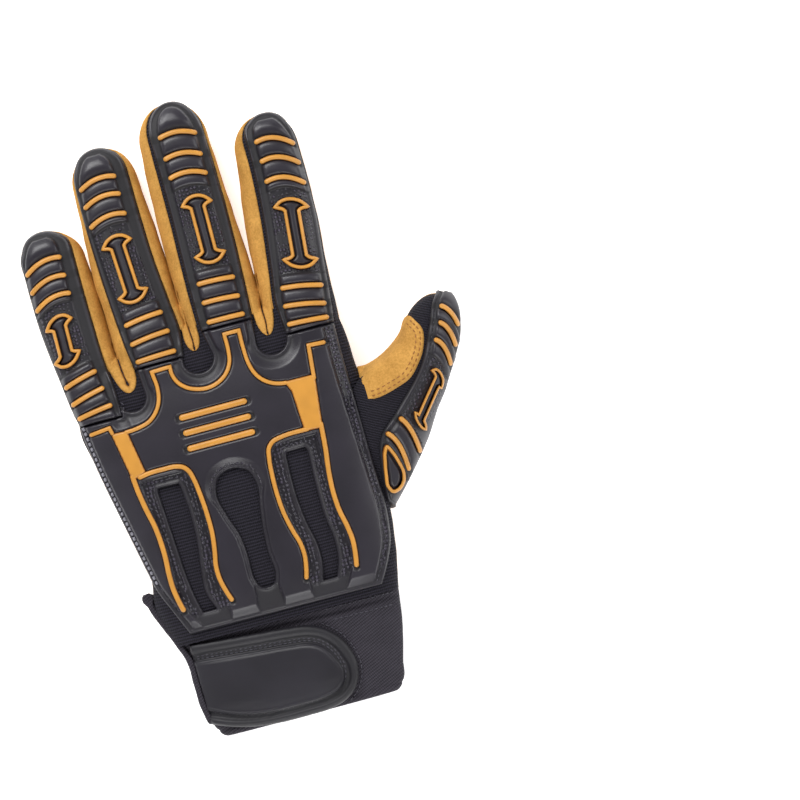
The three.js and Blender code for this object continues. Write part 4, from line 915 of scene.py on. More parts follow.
# The ribbed slots, as left side then right side from the wrist up
SLOT_LEFT = path(
    [(-37.5, -67), (-39, -60), (-40.3, -50), (-41, -38), (-41.8, -25), (-42.5, -15)],
    [(-42.5, -15), (-42, -13.4)], [(-42, -13.4), (-33.7, -13.6)], [(-33.7, -13.6), (-33.2, -15)],
    [(-33.2, -15), (-32.3, -25), (-32.5, -38), (-34, -50), (-34.5, -60), (-32, -67)],
)
SLOT_RIGHT = path(
    [(13.5, -67), (15, -60), (15, -52), (13, -42), (11.8, -30), (12, -14)],
    [(12, -14), (12.6, -12.7)], [(12.6, -12.7), (20, -12.6)], [(20, -12.6), (20.7, -14)],
    [(20.7, -14), (20.3, -30), (20.5, -42), (21.8, -52), (21.3, -60), (19, -67)],
)
SLOT_MIDDLE = loop_through([
    (-11.2, -13.3), (-5, -15.9), (-2.9, -21.5), (-4, -31), (-5.2, -40), (-5.6, -50), (-5.1, -59.5),
    (-6.4, -62.8), (-9.2, -63.8), (-12, -62.8), (-13.4, -59.5), (-13.6, -50), (-14.6, -40), (-17.6, -31),
    (-19.5, -21.5), (-17.4, -15.9),
])
BORDER_LEFT = path(
    [(-42, -67), (-45.2, -57), (-45.2, -50), (-45, -38), (-46, -28), (-47.4, -20), (-48.5, -9.4)],
    [(-48.5, -9.4), (-31, -9.2)], [(-31, -9.2), (-28.4, -13)],
    [(-28.4, -13), (-27.3, -20), (-26.8, -35), (-27.6, -44), (-28.8, -50), (-28.7, -56), (-26.4, -65)],
    [(-26.4, -65), (-28.4, -75.6), (-35.6, -75.6), (-42, -67)],
)[:-1]
BORDER_RIGHT = path(
    [(8.3, -65), (9.8, -57), (9.6, -50), (7.6, -42), (6.2, -34), (5.6, -22), (6.2, -13)],
    [(6.2, -13), (8.6, -8.6)], [(8.6, -8.6), (26, -8.2)],
    [(26, -8.2), (25.6, -20), (25, -33), (25.4, -41), (26.9, -50), (27.4, -57), (26, -65)],
    [(26, -65), (18.2, -75.6), (9.6, -75.6), (8.3, -65)],
)[:-1]
CHANNEL_MIDDLE = np.array([(-13.8, -60), (-5, -60), (-4.2, -75.6), (-14.9, -75.6)])

# Orange lines of the hand guard: width, then runs that meet at corners
LINES = [
    (1.7, [[(-63.8, 14.7), (-55, 15.6)], [(-55, 15.6), (-54.2, 12.4)]]),
    (1.7, [
        [(-49.6, 12.1), (-44, 12.5), (-38.4, 14), (-34.6, 17.3), (-32.4, 21.5), (-31.7, 26), (-32.3, 33.2)],
        [(-32.3, 33.2), (-24.6, 33.4)],
        [(-24.6, 33.4), (-24.6, 30.4), (-23.3, 26.7), (-20.5, 23.7), (-16.5, 21.8), (-11.8, 21.1),
         (-7, 22.2), (-3, 25), (-0.6, 29), (0.2, 34), (0.2, 40.5)],
        [(0.2, 40.5), (6.4, 40.5)],
        [(6.4, 40.5), (6.3, 33), (6.8, 26.5), (8, 22.3), (10.2, 19), (13.3, 16.6), (17, 15.2), (20.4, 14.7)],
    ]),
    (1.8, [[(31, 13), (32.3, 27.2)], [(32.3, 27.2), (39.4, 26.8)]]),
    (1.9, [
        [(24, -5.6), (12, -6), (8.2, -6.9), (6, -9), (5, -13), (4.4, -20), (4.3, -28), (5, -36.5),
         (6.6, -44), (8.3, -50), (8.7, -55), (8, -60), (6.8, -64.9)],
    ]),
    (2.1, [
        [(29, -4), (28.2, -15), (27, -25), (26.6, -33), (27.1, -41), (28.5, -48), (29.2, -54), (28.9, -59),
         (27.9, -65.4)],
    ]),
    (2.0, [
        [(-49, -7.2), (-44, -6.4), (-38, -6.3), (-32.5, -6.6), (-29.8, -7.6), (-28, -9.7), (-27, -13),
         (-26, -20), (-25.4, -28), (-25.4, -37), (-26.3, -44), (-27.4, -50), (-27.3, -55.5), (-26.2, -60.5),
         (-24.5, -65.7)],
    ]),
    (2.2, [
        [(-51, -5), (-50.1, -14), (-48.9, -21), (-47.4, -28), (-46.7, -35), (-46.6, -42), (-47, -49),
         (-46.8, -55), (-46, -60), (-44.8, -64.9)],
    ]),
]
STRIP_LEFT = np.array([(-55, 13), (-48.3, 12.7), (-45.1, -5.6), (-51.3, -7.8)])
STRIP_RIGHT = np.array([(17.9, 15.5), (31.8, 15.3), (29.4, -6.6), (21.8, -6.4), (20.9, 10.6), (19.6, 13.6)])
BACK_BARS = (12.0, 5.5, -1.0)
BACK_BAR_MIDDLE = -12.0
BACK_BAR_LENGTH = 28.6
BACK_BAR_WIDTH = 2.6

GUARD_LIFT = 0.35  # between the cloth and the underside of a guard
SKIRT = -1.4  # how far a guard's rim dips into the cloth that it is sewn to
GUARD_STEP = 0.5  # grid of the hand guard
FACET = 0.7  # width of the facet from a flange up to a deck
GROOVE_SIDE = 0.6  # slope beside an orange line
GROOVE_DEPTH = 0.85
PUFF = 0.3  # how far a puffed ridge stands over the deck
BAR_SINK = 0.4  # how far the foot of an orange bar lies under the floor around it


def notch_path(notch):
    """One notch of the guard's outline: from its left end down, round by nearly half a turn, and up to
    its right end."""
    angle, radius = np.radians(np.linspace(184, 356, 24)), notch["radius"]
    ring = np.stack([notch["x"] + radius * np.cos(angle), notch["y"] + radius * np.sin(angle)], axis=1)
    return path([notch["left"], tuple(ring[0])], ring, [tuple(ring[-1]), notch["right"]])


def guard_outline():
    """Outline of the hand guard with its round notches, with corners where its runs meet."""
    lines = [run(GUARD_LEFT[::-1]), run(TOPS[0])]
    for notch, top in zip(NOTCHES, TOPS[1:]):
        lines += [notch_path(notch), run(top)]
    return join(lines + [run(GUARD_RIGHT[::-1]), run([GUARD_RIGHT[0], GUARD_LEFT[-1]])])[:-1]


def cut_grid(depth, low, high, step):
    """A grid between two corners, cut to where depth is positive. The grid's border points move onto
    the outline along the slope of the depth. Returns the plan points, the faces and the directed
    border edges."""
    xs, ys = (np.arange(low[k], high[k] + step, step) for k in (0, 1))
    x, y = np.meshgrid(xs, ys)
    deep = depth(x, y)
    faces = grid_faces(len(ys), len(xs))
    faces = faces[(deep.ravel()[faces] > -0.45 * step).all(axis=1)]
    used, faces = np.unique(faces, return_inverse=True)
    faces = faces.reshape(-1, 4)
    x, y = x.ravel()[used], y.ravel()[used]
    edges = np.stack([faces, np.roll(faces, -1, axis=1)], axis=-1).reshape(-1, 2)
    codes = edges[:, 0] * len(x) + edges[:, 1]
    back = edges[:, 1] * len(x) + edges[:, 0]
    border = edges[~np.isin(codes, back)]
    rim = np.unique(border)
    for _ in range(3):
        d = depth(x[rim], y[rim])
        nudge = 0.05
        slope_x = (depth(x[rim] + nudge, y[rim]) - d) / nudge
        slope_y = (depth(x[rim], y[rim] + nudge) - d) / nudge
        size = np.maximum(np.hypot(slope_x, slope_y), 0.3)
        x[rim] -= np.clip(d, -step, step) * slope_x / size
        y[rim] -= np.clip(d, -step, step) * slope_y / size
    return x, y, faces, border


def with_skirt(x, y, faces, border, height, place, foot=SKIRT):
    """Lays a cut grid on the glove at its heights and turns its border down to the foot's height."""
    top = place(x, y, height)
    rim, index = np.unique(border, return_inverse=True)
    index = index.reshape(-1, 2) + len(x)
    low = place(x[rim], y[rim], np.full(len(rim), foot))
    walls = np.stack([border[:, 1], border[:, 0], index[:, 0], index[:, 1]], axis=1)
    return np.concatenate([top, low]), np.concatenate([faces, walls])


def bevel(width, depth):
    """A facet: 0 outside, rising nearly straight to 1 over its width."""
    t = np.clip(depth / width, 0.0, 1.0)
    return 0.7 * t + 0.3 * t * t * (3 - 2 * t)


def rounded(radius, depth):
    """The quarter round of an edge: the square root of 1 minus the square of the missing share."""
    t = np.clip(depth / radius, 0.0, 1.0)
    return np.sqrt(1 - (1 - t) ** 2)


def place_on_back(x, y, height):
    """Puts plan points at a height of relief onto the back of the hand."""
    return lay_on(back_surface, x, y, height + GUARD_LIFT)


def guard_height(x, y, away, sizes):
    """Relief of the hand guard: a thin stitched flange, and a deck that rises from it by facets.

    The deck's share is the least of its facets. Grooves follow the orange lines. Returns the heights
    and the marks "grip" and "low"."""
    shares = [
        bevel(0.8, path_distance(x, y, run(GUARD_LEFT)) - 2.3),
        bevel(0.9, path_distance(x, y, run(GUARD_RIGHT)) - 3.1 - 1.2 * smooth(-30, 20, y)),
        bevel(3.8, y + 73.2),
        bevel(FACET, -depth_in(x, y, BORDER_LEFT)),
        bevel(FACET, -depth_in(x, y, BORDER_RIGHT)),
        bevel(0.9, -depth_in(x, y, CHANNEL_MIDDLE)),
        bevel(1.0 + 2.6 * smooth(-28, -19, y), -depth_in(x, y, SLOT_MIDDLE) - 1.2),
    ]
    for notch in NOTCHES:
        wide = 1.0 + 2.7 * smooth(notch["y"] + 3, notch["y"] - 2, y)
        shares.append(bevel(wide, path_distance(x, y, notch_path(notch)) - 2.3))
    for top in TOPS:
        shares.append(bevel(0.35, path_distance(x, y, run(top)) + 0.15))
    share = np.minimum.reduce(shares)
    flange, deck = sizes["flange"], sizes["deck"]
    height = flange + (deck - flange) * share
    groove = np.zeros_like(height)
    for width, runs in LINES:
        near = path_distance(x, y, path(*runs))
        groove = np.maximum(groove, 1 - smooth(width / 2, width / 2 + GROOVE_SIDE, near))
    for strip in (STRIP_LEFT, STRIP_RIGHT):
        groove = np.maximum(groove, smooth(-GROOVE_SIDE, -0.05, depth_in(x, y, strip)))
    half = BACK_BAR_WIDTH / 2
    for middle in BACK_BARS:
        near = path_distance(x, y, back_bar_line(middle))
        groove = np.maximum(groove, 1 - smooth(half, half + GROOVE_SIDE, near))
    rim = flange * 0.45 * bump(0.8, 0.5, away)
    thin = 1 - share
    grip = smooth(0.55, 0.95, thin) * smooth(1.5, 2.0, away + 0.6 * smooth(34, 38, x)) * smooth(-69, -66, y)
    grip = grip * smooth(0.2, -0.2, depth_in(x, y, CHANNEL_MIDDLE)) * np.maximum(smooth(8, 4, y), x > 38)
    # Painted shade, by the mark "low": dark in the grooves of the orange lines and over the flange, less on its
    # rim and none where it is pimpled.
    low = np.maximum(groove, (1 - grip) * 0.55 * smooth(0.7, 1.0, thin) * (1 - bump(0.8, 0.4, away)))
    height = (height - GROOVE_DEPTH * groove) * (0.35 + 0.65 * rounded(0.35, away)) + rim * thin
    return height, grip, low


def orange_piece(name, nodes, parts, material):
    """One piece of orange rubber from ribbons and strips with their edge marks: painted shade on their sides."""
    points, faces, edge = gather(parts)
    build(name, points, faces, material, nodes, {"edge": edge}, closed=True)


def back_bar_line(middle):
    """Centre line of one of the plain bars on the back of the hand."""
    half = BACK_BAR_LENGTH / 2
    return run([(BACK_BAR_MIDDLE - half, middle), (BACK_BAR_MIDDLE + half, middle)])


def flat_strip(corners, low, high, place):
    """A wide flat strip: a grid inside its outline, whose height falls by a quarter round over the last
    0.5 mm, with walls down into the guard."""
    depth = lambda a, b: depth_in(a, b, corners)
    x, y, faces, border = cut_grid(depth, corners.min(0) - 1, corners.max(0) + 1, 0.45)
    away = depth(x, y)
    height = low + (high - low) * (0.5 + 0.5 * rounded(0.5, away))
    points, faces = with_skirt(x, y, faces, border, height, place, low)
    # The mark "edge" is 1 over the strip's rounded rim and its walls, where the orange material paints shade.
    edge = np.concatenate([1 - smooth(0.05, 0.5, away), np.ones(len(points) - len(x))])
    return points, faces, edge


def hand_guard(material, sizes):
    """Guard of the hand: a grid cut to its outline and round the ribbed slots, with a skirt below."""
    outline = guard_outline()
    slots = SLOT_LEFT, SLOT_RIGHT, SLOT_MIDDLE
    solid = lambda a, b: np.minimum.reduce(
        [depth_in(a, b, outline), *(-depth_in(a, b, slot) for slot in slots)])
    x, y, faces, border = cut_grid(solid, (-69, -77), (47, 45), GUARD_STEP)
    height, grip, low = guard_height(x, y, solid(x, y), sizes)
    points, faces = with_skirt(x, y, faces, border, height, place_on_back)
    marks = {key: np.pad(mark, (0, len(points) - len(x))) for key, mark in (("grip", grip), ("low", low))}
    build("guard_hand", points, faces, material, ["hand_guard"], marks)


def hand_trim(material, sizes):
    """Orange lines and strips of the hand guard, and its plain bars."""
    low, high = sizes["deck"] - 1.0, sizes["deck"] + 0.35
    parts = [ribbon(path(*runs), width, low, high, place_on_back) for width, runs in LINES]
    for corners in (STRIP_LEFT, STRIP_RIGHT):
        parts.append(flat_strip(corners, low, high - 0.1, place_on_back))
    orange_piece("orange_lines", ["hand_guard_lines"], parts, material)
    for i, middle in enumerate(BACK_BARS):
        bar = ribbon(back_bar_line(middle), BACK_BAR_WIDTH, low, high + 0.1, place_on_back)
        orange_piece(f"back_rib_{i + 1}", [f"back_bar_{i + 1}"], [bar], material)


# Finger guards

def bend(finger, y, u):
    """How far a bar lies above a straight line across the finger: a lean and a bow that fade out at
    the fingertip and at the root."""
    f = smooth(finger["bone"]["bottom"], finger["bone"]["top"], y)
    at_tip = smooth(2, 9, finger["guard_tip"] - y)
    at_root = np.clip((y - finger["guard"][0][0] - 0.8) / 6, 0, 1)
    lean = finger["root_lean"] * (1 - f) + finger["tip_lean"] * f
    bow = finger["root_bow"] * (1 - f) + finger["tip_bow"] * f
    return (lean * u + bow * (1 - u * u)) * at_tip * at_root


def guard_place(finger, v, share, inset=0.0):
    """Plan point of a guard: row v, and share 0 to 1 across it from its left to its right edge."""
    left, deck_left, deck_right, right = table(finger["guard"], v)
    shrink = tip_shrink(finger["guard_tip"] - inset, finger["round"], v)
    raw = left + (right - left) * share
    centre = (left + right) / 2
    u = np.clip((2 * raw - deck_left - deck_right) / (deck_right - deck_left), -1, 1)
    x = centre + (raw - centre) * shrink
    return x, v + bend(finger, v, u)


def guard_rows(finger, step=0.45):
    """Rows of a finger guard: even steps, then by the sine of an angle over the round tip."""
    start = finger["guard"][0][0] + 0.05
    straight = finger["guard_tip"] - finger["round"]
    even = np.arange(start, straight, step)
    turn = np.linspace(0, math.pi / 2, int(finger["round"] / step * 1.35))
    return np.concatenate([even, straight + finger["round"] * np.sin(turn)])


def guard_polygon(finger, deck):
    """Closed plan outline of a finger guard, or of its raised deck."""
    inset = DECK_INSET if deck else 0.0
    rows = guard_rows(finger, 1.0)
    rows = rows[rows <= finger["guard_tip"] - inset]
    rows[0] -= 0.7 if deck else 0.0
    left, deck_left, deck_right, right = table(finger["guard"], rows)
    low = (deck_left - left) / (right - left) if deck else np.zeros(len(rows))
    high = (deck_right - left) / (right - left) if deck else np.ones(len(rows))
    right_side = np.stack(guard_place(finger, rows, high, inset), axis=1)
    left_side = np.stack(guard_place(finger, rows, low, inset), axis=1)
    return np.concatenate([right_side, left_side[::-1]])


DECK_INSET = 2.3  # how far a finger guard's deck ends before its tip
BONE_STEM = 2.7  # half width over the stems of a bone
BONE_HOOK = 3.3  # how far the horns of its ends hang back
BONE_INSET = 1.5  # by which its line is shorter than the bone, as the line has a width


def bone_line(finger):
    """Closed line of a finger's bone: two bowed ends with horns, joined by two straight stems, leaning
    and shifted in plan."""
    bone = finger["bone"]
    length, end = bone["top"] - bone["bottom"], bone["end"]
    half = (length - BONE_INSET) / 2
    horn, neck = half - BONE_HOOK, half - BONE_HOOK - 1.3
    quarter = [
        [(-end, horn), (-end * 0.55, half - 0.85), (0, half), (end * 0.55, half - 0.85), (end, horn)],
        [(end, horn), (BONE_STEM + 0.6, neck + 0.2), (BONE_STEM, neck - 0.4)],
        [(BONE_STEM, neck - 0.4), (BONE_STEM, -neck + 0.4)],
        [(BONE_STEM, -neck + 0.4), (BONE_STEM + 0.6, -neck - 0.2), (end, -horn)],
    ]
    right = path(*quarter, step=0.5)
    line = np.concatenate([right[:-1], -right[:-1]])
    f = line[:, 1] / length + 0.5
    x = bone["bottom_x"] + (bone["top_x"] - bone["bottom_x"]) * f + line[:, 0]
    y = bone["bottom"] + length * f + bone["lean"] * line[:, 0] / end
    return np.stack([x, y], axis=1)


def ridges(v, bars, start, end, width):
    """Share of the full height over a set of bars, given from the tip down: a puffed ridge between
    each two grooves, the root of 1 minus the cube of the distance from its middle."""
    stops = [start, *bars[::-1], end]
    share = np.zeros(np.shape(v))
    for i in range(len(stops) - 1):
        low = stops[i] + (0 if i == 0 else width / 2 + 0.2)
        high = stops[i + 1] - (0 if i == len(stops) - 2 else width / 2 + 0.2)
        t = np.clip(np.abs(2 * v - low - high) / (high - low), 0, 1)
        share = np.maximum(share, (1 - t ** 3) ** 0.55)
    return share


def guard_edge(height, away, deep):
    """Rounds a guard's outer edge and gives its flange a low rim. Returns the heights and the rim."""
    rim = bump(0.8, 0.45, away) * (1 - smooth(0.2, 0.8, deep))
    return height * (0.35 + 0.65 * rounded(0.45, away)) + 0.5 * rim, rim


def guard_marks(grip, *lows):
    """Marks of a guard with a skirt of one point all round it: its grip, and the most of its lows, which are
    painted shade.
    """
    low = np.clip(np.maximum.reduce(lows), 0, 1)
    return {"grip": np.pad(grip, 1), "low": np.pad(low, 1)}


def skirted(top, base):
    """A grid of points with a row of base points outside each of its four sides."""
    points = np.concatenate([base[:1], top, base[-1:]])
    first = np.concatenate([base[:1, :1], base[:, :1], base[-1:, :1]])
    last = np.concatenate([base[:1, -1:], base[:, -1:], base[-1:, -1:]])
    return np.concatenate([first, points, last], axis=1)


def finger_place(finger):
    """The function that puts plan points at a height of relief onto a finger."""
    surface = finger_surface(finger)
    return lambda x, y, height: lay_on(surface, x, y, height + GUARD_LIFT)


def finger_guard(name, finger, material, sizes):
    """Guard of one finger: rows along it that follow the bow of its bars, columns across it."""
    rows = guard_rows(finger)
    shares = np.linspace(0, 1, 46)
    v, share = np.meshgrid(rows, shares, indexing="ij")
    x, y = guard_place(finger, v, share)
    away = depth_in(x, y, guard_polygon(finger, False))
    deep = depth_in(x, y, guard_polygon(finger, True))
    away[[0, -1]] = 0
    away[:, [0, -1]] = 0
    flange, recess, deck, groove, width = (
        sizes[key] for key in ("flange", "recess", "deck", "groove", "bar_width"))
    root, tip, bone = finger["root_bars"], finger["tip_bars"], finger["bone"]
    root_end, tip_start = bone["bottom"] - 1.9, bone["top"] + 2.2
    puff = np.where(v < root_end, ridges(v, root, finger["guard"][0][0] - 0.6, root_end, width), 0.0)
    pad_end = finger["guard_tip"] + 1.0
    puff = np.where(v > tip_start, ridges(v, tip, tip_start, pad_end, width), puff)
    in_recess = smooth(root_end, root_end + 1.0, v) * smooth(tip_start, tip_start - 1.0, v)
    pad = smooth(tip[0] + width / 2 + 0.4, tip[0] + width / 2 + 4.5, v)
    level = groove + (deck + PUFF - groove) * puff + (recess - groove) * in_recess
    level = level + 0.5 * pad * smooth(0, 3.5, deep)
    inner = depth_in(x, y, bone_line(finger))
    level = level + in_recess * 1.25 * smooth(1.15, 1.75, inner)
    side = 0.6 * (1 - smooth(0, 2.2, deep)) * (1 - in_recess) * (1 - pad)
    height = flange + (level - side - flange) * bevel(FACET, deep)
    height, rim = guard_edge(height, away, deep)
    grip = in_recess * smooth(0.3, 0.9, deep) * (1 - smooth(-1.3, -0.7, inner))
    # Painted shade, by the mark "low": in the grooves beside the bars, along both sides of the bone's line and
    # over the flange except on its rim.
    sunk = (1 - smooth(0.35, 0.85, puff)) * (1 - in_recess)
    line_side = in_recess * bump(0, 1.5, inner)
    flat = 0.85 * (1 - smooth(0.1, 0.75, deep)) * (1 - rim)
    place = finger_place(finger)
    points = skirted(place(x, y, height), place(*drawn_in(finger, x, y)[:2], np.full(x.shape, SKIRT)))
    build("guard_" + name, points, grid_faces(*points.shape[:2]), material,
          ["finger_guard_" + name], guard_marks(grip, sunk, line_side, flat))


def finger_trim(name, finger, material, sizes):
    """Orange bars and bone of one finger."""
    place = finger_place(finger)
    width, low, high = sizes["bar_width"], sizes["groove"] - BAR_SINK, sizes["bar_top"]
    for group, bars in (("tip", finger["tip_bars"]), ("root", finger["root_bars"])):
        for i, at in enumerate(bars):
            _, deck_left, deck_right, _ = table(finger["guard"], at)
            x = np.linspace(deck_left, deck_right + 0.2, 22)
            u = (2 * x - deck_left - deck_right) / (deck_right - deck_left)
            line = np.stack([x, at + bend(finger, at, u)], axis=1)
            orange_piece(f"{name}_{group}_rib_{i + 1}", [f"{name}_{group}_bar_{i + 1}"],
                         [ribbon(line, width, low, high, place)], material)
    ring = ribbon(bone_line(finger), sizes["bone_width"], sizes["recess"] - BAR_SINK, high - 0.1, place, True)
    orange_piece(f"{name}_bone_ring", [f"{name}_bone"], [ring], material)


# Thumb guard

def thumb_row(inner, share, height):
    """Points over the thumb on the row that starts at inner on the flange, and their turns. share is 0
    at the guard's outer edge and 1 at the flange; a row drops on its way out."""
    edge, drop = table(THUMB_GUARD, inner)
    turn_in = thumb_turn(inner, edge)
    turn = THUMB_WRAP + (turn_in - THUMB_WRAP) * share
    along = inner - drop * (1 - turn / turn_in)
    return thumb_point(np.clip(along, -2.5, THUMB_TIP - 0.3), turn, height), turn


def thumb_bar(bar, across):
    """Distance along the thumb of a bar at a distance across, and the share by which its slant widens
    it along the thumb."""
    past = np.maximum(across - bar[1], 0)
    return bar[0] - bar[2] * past ** 2, np.hypot(1, 2 * bar[2] * past)


def thumb_guard(material, trim, sizes):
    """Guard of the thumb with its orange bars, bone and teardrop."""
    flange, recess, deck, groove, width, line_width, high = (sizes[key] for key in (
        "flange", "recess", "deck", "groove", "bar_width", "bone_width", "bar_top"))
    straight, reach = THUMB_STRAIGHT, THUMB_GUARD[-1][0] - THUMB_STRAIGHT
    round_tip = straight + reach * np.sin(np.linspace(0, math.pi / 2, 44))
    rows = np.concatenate([np.arange(0.6, straight, 0.45), round_tip])
    v, share = np.meshgrid(rows, np.linspace(0, 1, 60), indexing="ij")
    base, turn = thumb_row(v, share, 0.0)
    steps = np.linalg.norm(np.diff(base, axis=1), axis=-1)
    outer = np.pad(np.cumsum(steps, axis=1), ((0, 0), (1, 0)))
    flange_side = outer[:, -1:] - outer
    runs = np.pad(np.cumsum(np.linalg.norm(np.diff(base, axis=0), axis=-1), axis=0), ((1, 0), (0, 0)))
    ends = np.minimum(runs, runs[-1:] - runs)
    away = np.minimum(np.minimum(outer, flange_side), ends)
    deep = np.minimum(flange_side - 2.0, ends - 1.5)
    shoulder = thumb_shoulder(turn)
    seen = thumb_row(v, share, flange + (deck - flange) * shoulder)[0]
    along, across = thumb_coordinates(seen[..., 0], seen[..., 1])
    puff, barred = np.zeros(v.shape), np.zeros(v.shape)
    for group, (start, end) in THUMB_PADS.items():
        bars = [thumb_bar(bar, across) for name, bar in THUMB_BARS.items() if name.startswith(group)]
        low_end, high_end = thumb_bar(start, across)[0], thumb_bar(end, across)[0]
        within = (along > low_end) & (along < high_end)
        puffed = ridges(along, [at for at, _ in bars], low_end, high_end, width * bars[0][1])
        puff = np.where(within, puffed, puff)
        barred = np.where(within, 1.0, barred)
    level = np.where(barred > 0, groove + (deck + PUFF - groove) * puff, recess)
    bone, drop = path(*THUMB_BONE), loop_through(THUMB_DROP, step=0.5)
    upper = turn > 0
    in_bone = np.where(upper, depth_in(seen[..., 0], seen[..., 1], bone[:-1]), -9.0)
    in_drop = np.where(upper, depth_in(seen[..., 0], seen[..., 1], drop), -9.0)
    level = level + 0.9 * smooth(0.5, 1.0, in_bone) + 1.2 * smooth(0.9, 2.2, in_drop)
    height = flange + (level - flange) * bevel(FACET, deep) * shoulder
    height, rim = guard_edge(height, away, deep)
    textured = (1 - barred) * smooth(36, 38, along)
    grip = textured * smooth(0.3, 0.9, deep) * (1 - smooth(-0.8, -0.4, in_bone)) * smooth(0.0, 0.2, turn)
    # Painted shade, by the mark "low": in the grooves beside the bars, along the lines of the bone and the
    # teardrop and over the flange except on its rim.
    sunk = barred * (1 - smooth(0.35, 0.85, puff))
    line_side = np.maximum(bump(0, 1.0, in_bone), bump(0, 1.4, in_drop))
    flat = 0.65 * (1 - smooth(0.1, 0.75, deep)) * (1 - rim)
    top = thumb_row(v, share, height + GUARD_LIFT)[0]
    points = skirted(top, thumb_row(v, share, np.full(v.shape, SKIRT))[0])
    faces = grid_faces(*points.shape[:2], flip=True)
    build("guard_thumb", points, faces, material, ["thumb_guard"],
          guard_marks(grip, sunk, line_side, flat))
    place = lambda x, y, h: lay_on_thumb(x, y, h + GUARD_LIFT, flange + GUARD_LIFT)
    for name, bar in THUMB_BARS.items():
        group, number = name.split("_")
        across = np.linspace(bar[3] - 0.2, bar[4] + 0.2, 22)
        line = thumb_plan(thumb_bar(bar, across)[0], across)
        orange_piece(f"thumb_{group}_rib_{number}", [f"thumb_{group}_bar_{number}"],
                     [ribbon(line, width, groove - BAR_SINK, high, place)], trim)
    rings = ("thumb_bone", bone[:-1], line_width * 0.75), ("thumb_teardrop", drop, line_width)
    for name, line, wide in rings:
        ring = ribbon(line, wide, recess - BAR_SINK, high - 0.2, place, True)
        orange_piece(name + "_ring", [name], [ring], trim)


# Soft pieces

SEAM_TURN = 0.3  # angle below a section's middle where the side seam runs
SEAM_LAP = 0.03  # how far the suede laps over the seam, as an angle
SUEDE_LIFT = 0.25  # how far the suede stands proud of the knit
KNIT_WALL = 0.9
SUEDE_WALL = 1.0
FLANK_WALL = 0.8
FLANK_LIFT = 0.45  # how far the suede of a finger's side stands off its section
FLANK_START = 10.0  # how far beyond the end of the tongue it begins
CUFF_WALL = 1.7


def rows_to_tip(limb, start, step, grow):
    """Rows along a limb: even steps, then by the sine of an angle over its round tip."""
    straight = limb["tip"] - limb["round"]
    even = np.linspace(start, straight, max(int((straight - start) / step), 2))
    turn = np.linspace(0, math.pi / 2, 16)[1:]
    return np.concatenate([even, straight + (limb["round"] + grow) * np.sin(turn)])


def folds(y, across, size):
    """Soft uneven puckers of cloth: three sines of different lengths added up."""
    wave = np.sin(y / 2.9 + 1.3 * np.sin(across / 5.0)) + 0.6 * np.sin(y / 1.7 + across / 3.1 + 0.8)
    return size * (wave + 0.7 * np.sin(y / 5.3 - across / 4.0)) / 2.3


def shell_half(name, node, turns, grow, pucker, wall, material):
    """Back or front of the hand and the fingers: a sheet on each between two turns round its section,
    grown outward and puckered. The front stands a little proud of the knit at the seam."""
    parts = []
    for limb, start, columns in [(HAND, WRIST - 1, 90)] + [(f, f["start"], 44) for f in FINGERS.values()]:
        y = rows_to_tip(limb, start, 1.5, grow)[:, None]
        angle = np.linspace(*turns, columns)[None, :]
        points = tube(limb, y, angle, grow + folds(y, angle * 12, pucker))
        parts.append((points, grid_faces(*points.shape[:2], flip=True), 0.0))
    points, faces, _ = gather(parts)
    thicken(build(name, points, faces, material, [node]), wall)


# Suede between two fingers: its name, the fingers, the tongue's end, its half width and the y of its notch
FOURCHETTES = [
    ("little_ring", "little", "ring", (-43.3, 27.4), 4.6, 36),
    ("ring_middle", "ring", "middle", (-13.2, 37.2), 3.2, 43),
    ("middle_index", "middle", "index", (17.5, 35.6), 3.4, 41),
]


def suede_edge(finger, side, y):
    """x where the suede of a finger's flank meets the black of its back, following the round tip."""
    left, _, _, right = table(finger["guard"], y)
    edge = right + finger["border"][1] if side > 0 else left - finger["border"][0]
    centre = (left + right) / 2
    return centre + (edge - centre) * tip_shrink(finger["guard_tip"] + 0.8, finger["round"], y)


def flank(finger, side, start, grow):
    """Suede on one side of a finger: from the edge of the knit down to the seam, as a sheet whose top
    angle is the one where the superellipse reaches the edge's x."""
    y = rows_to_tip(finger, start, 1.0, grow)[:, None]
    middle_x, _, half_width, _ = section(finger, y, grow)
    share = np.clip(side * (suede_edge(finger, side, y) - middle_x) / np.maximum(half_width, 0.01), 0, 1)
    top = np.arccos(share ** (finger["power"] / 2))
    t = np.linspace(0, 1, 16)[None, :]
    angle = top + (-SEAM_TURN - 0.05 - top) * t
    angle = angle if side > 0 else math.pi - angle
    points = tube(finger, y, angle, grow + folds(y, t * 14 + side, 0.16) * smooth(0, 0.2, t))
    return points, grid_faces(*points.shape[:2], flip=side < 0), 0.0


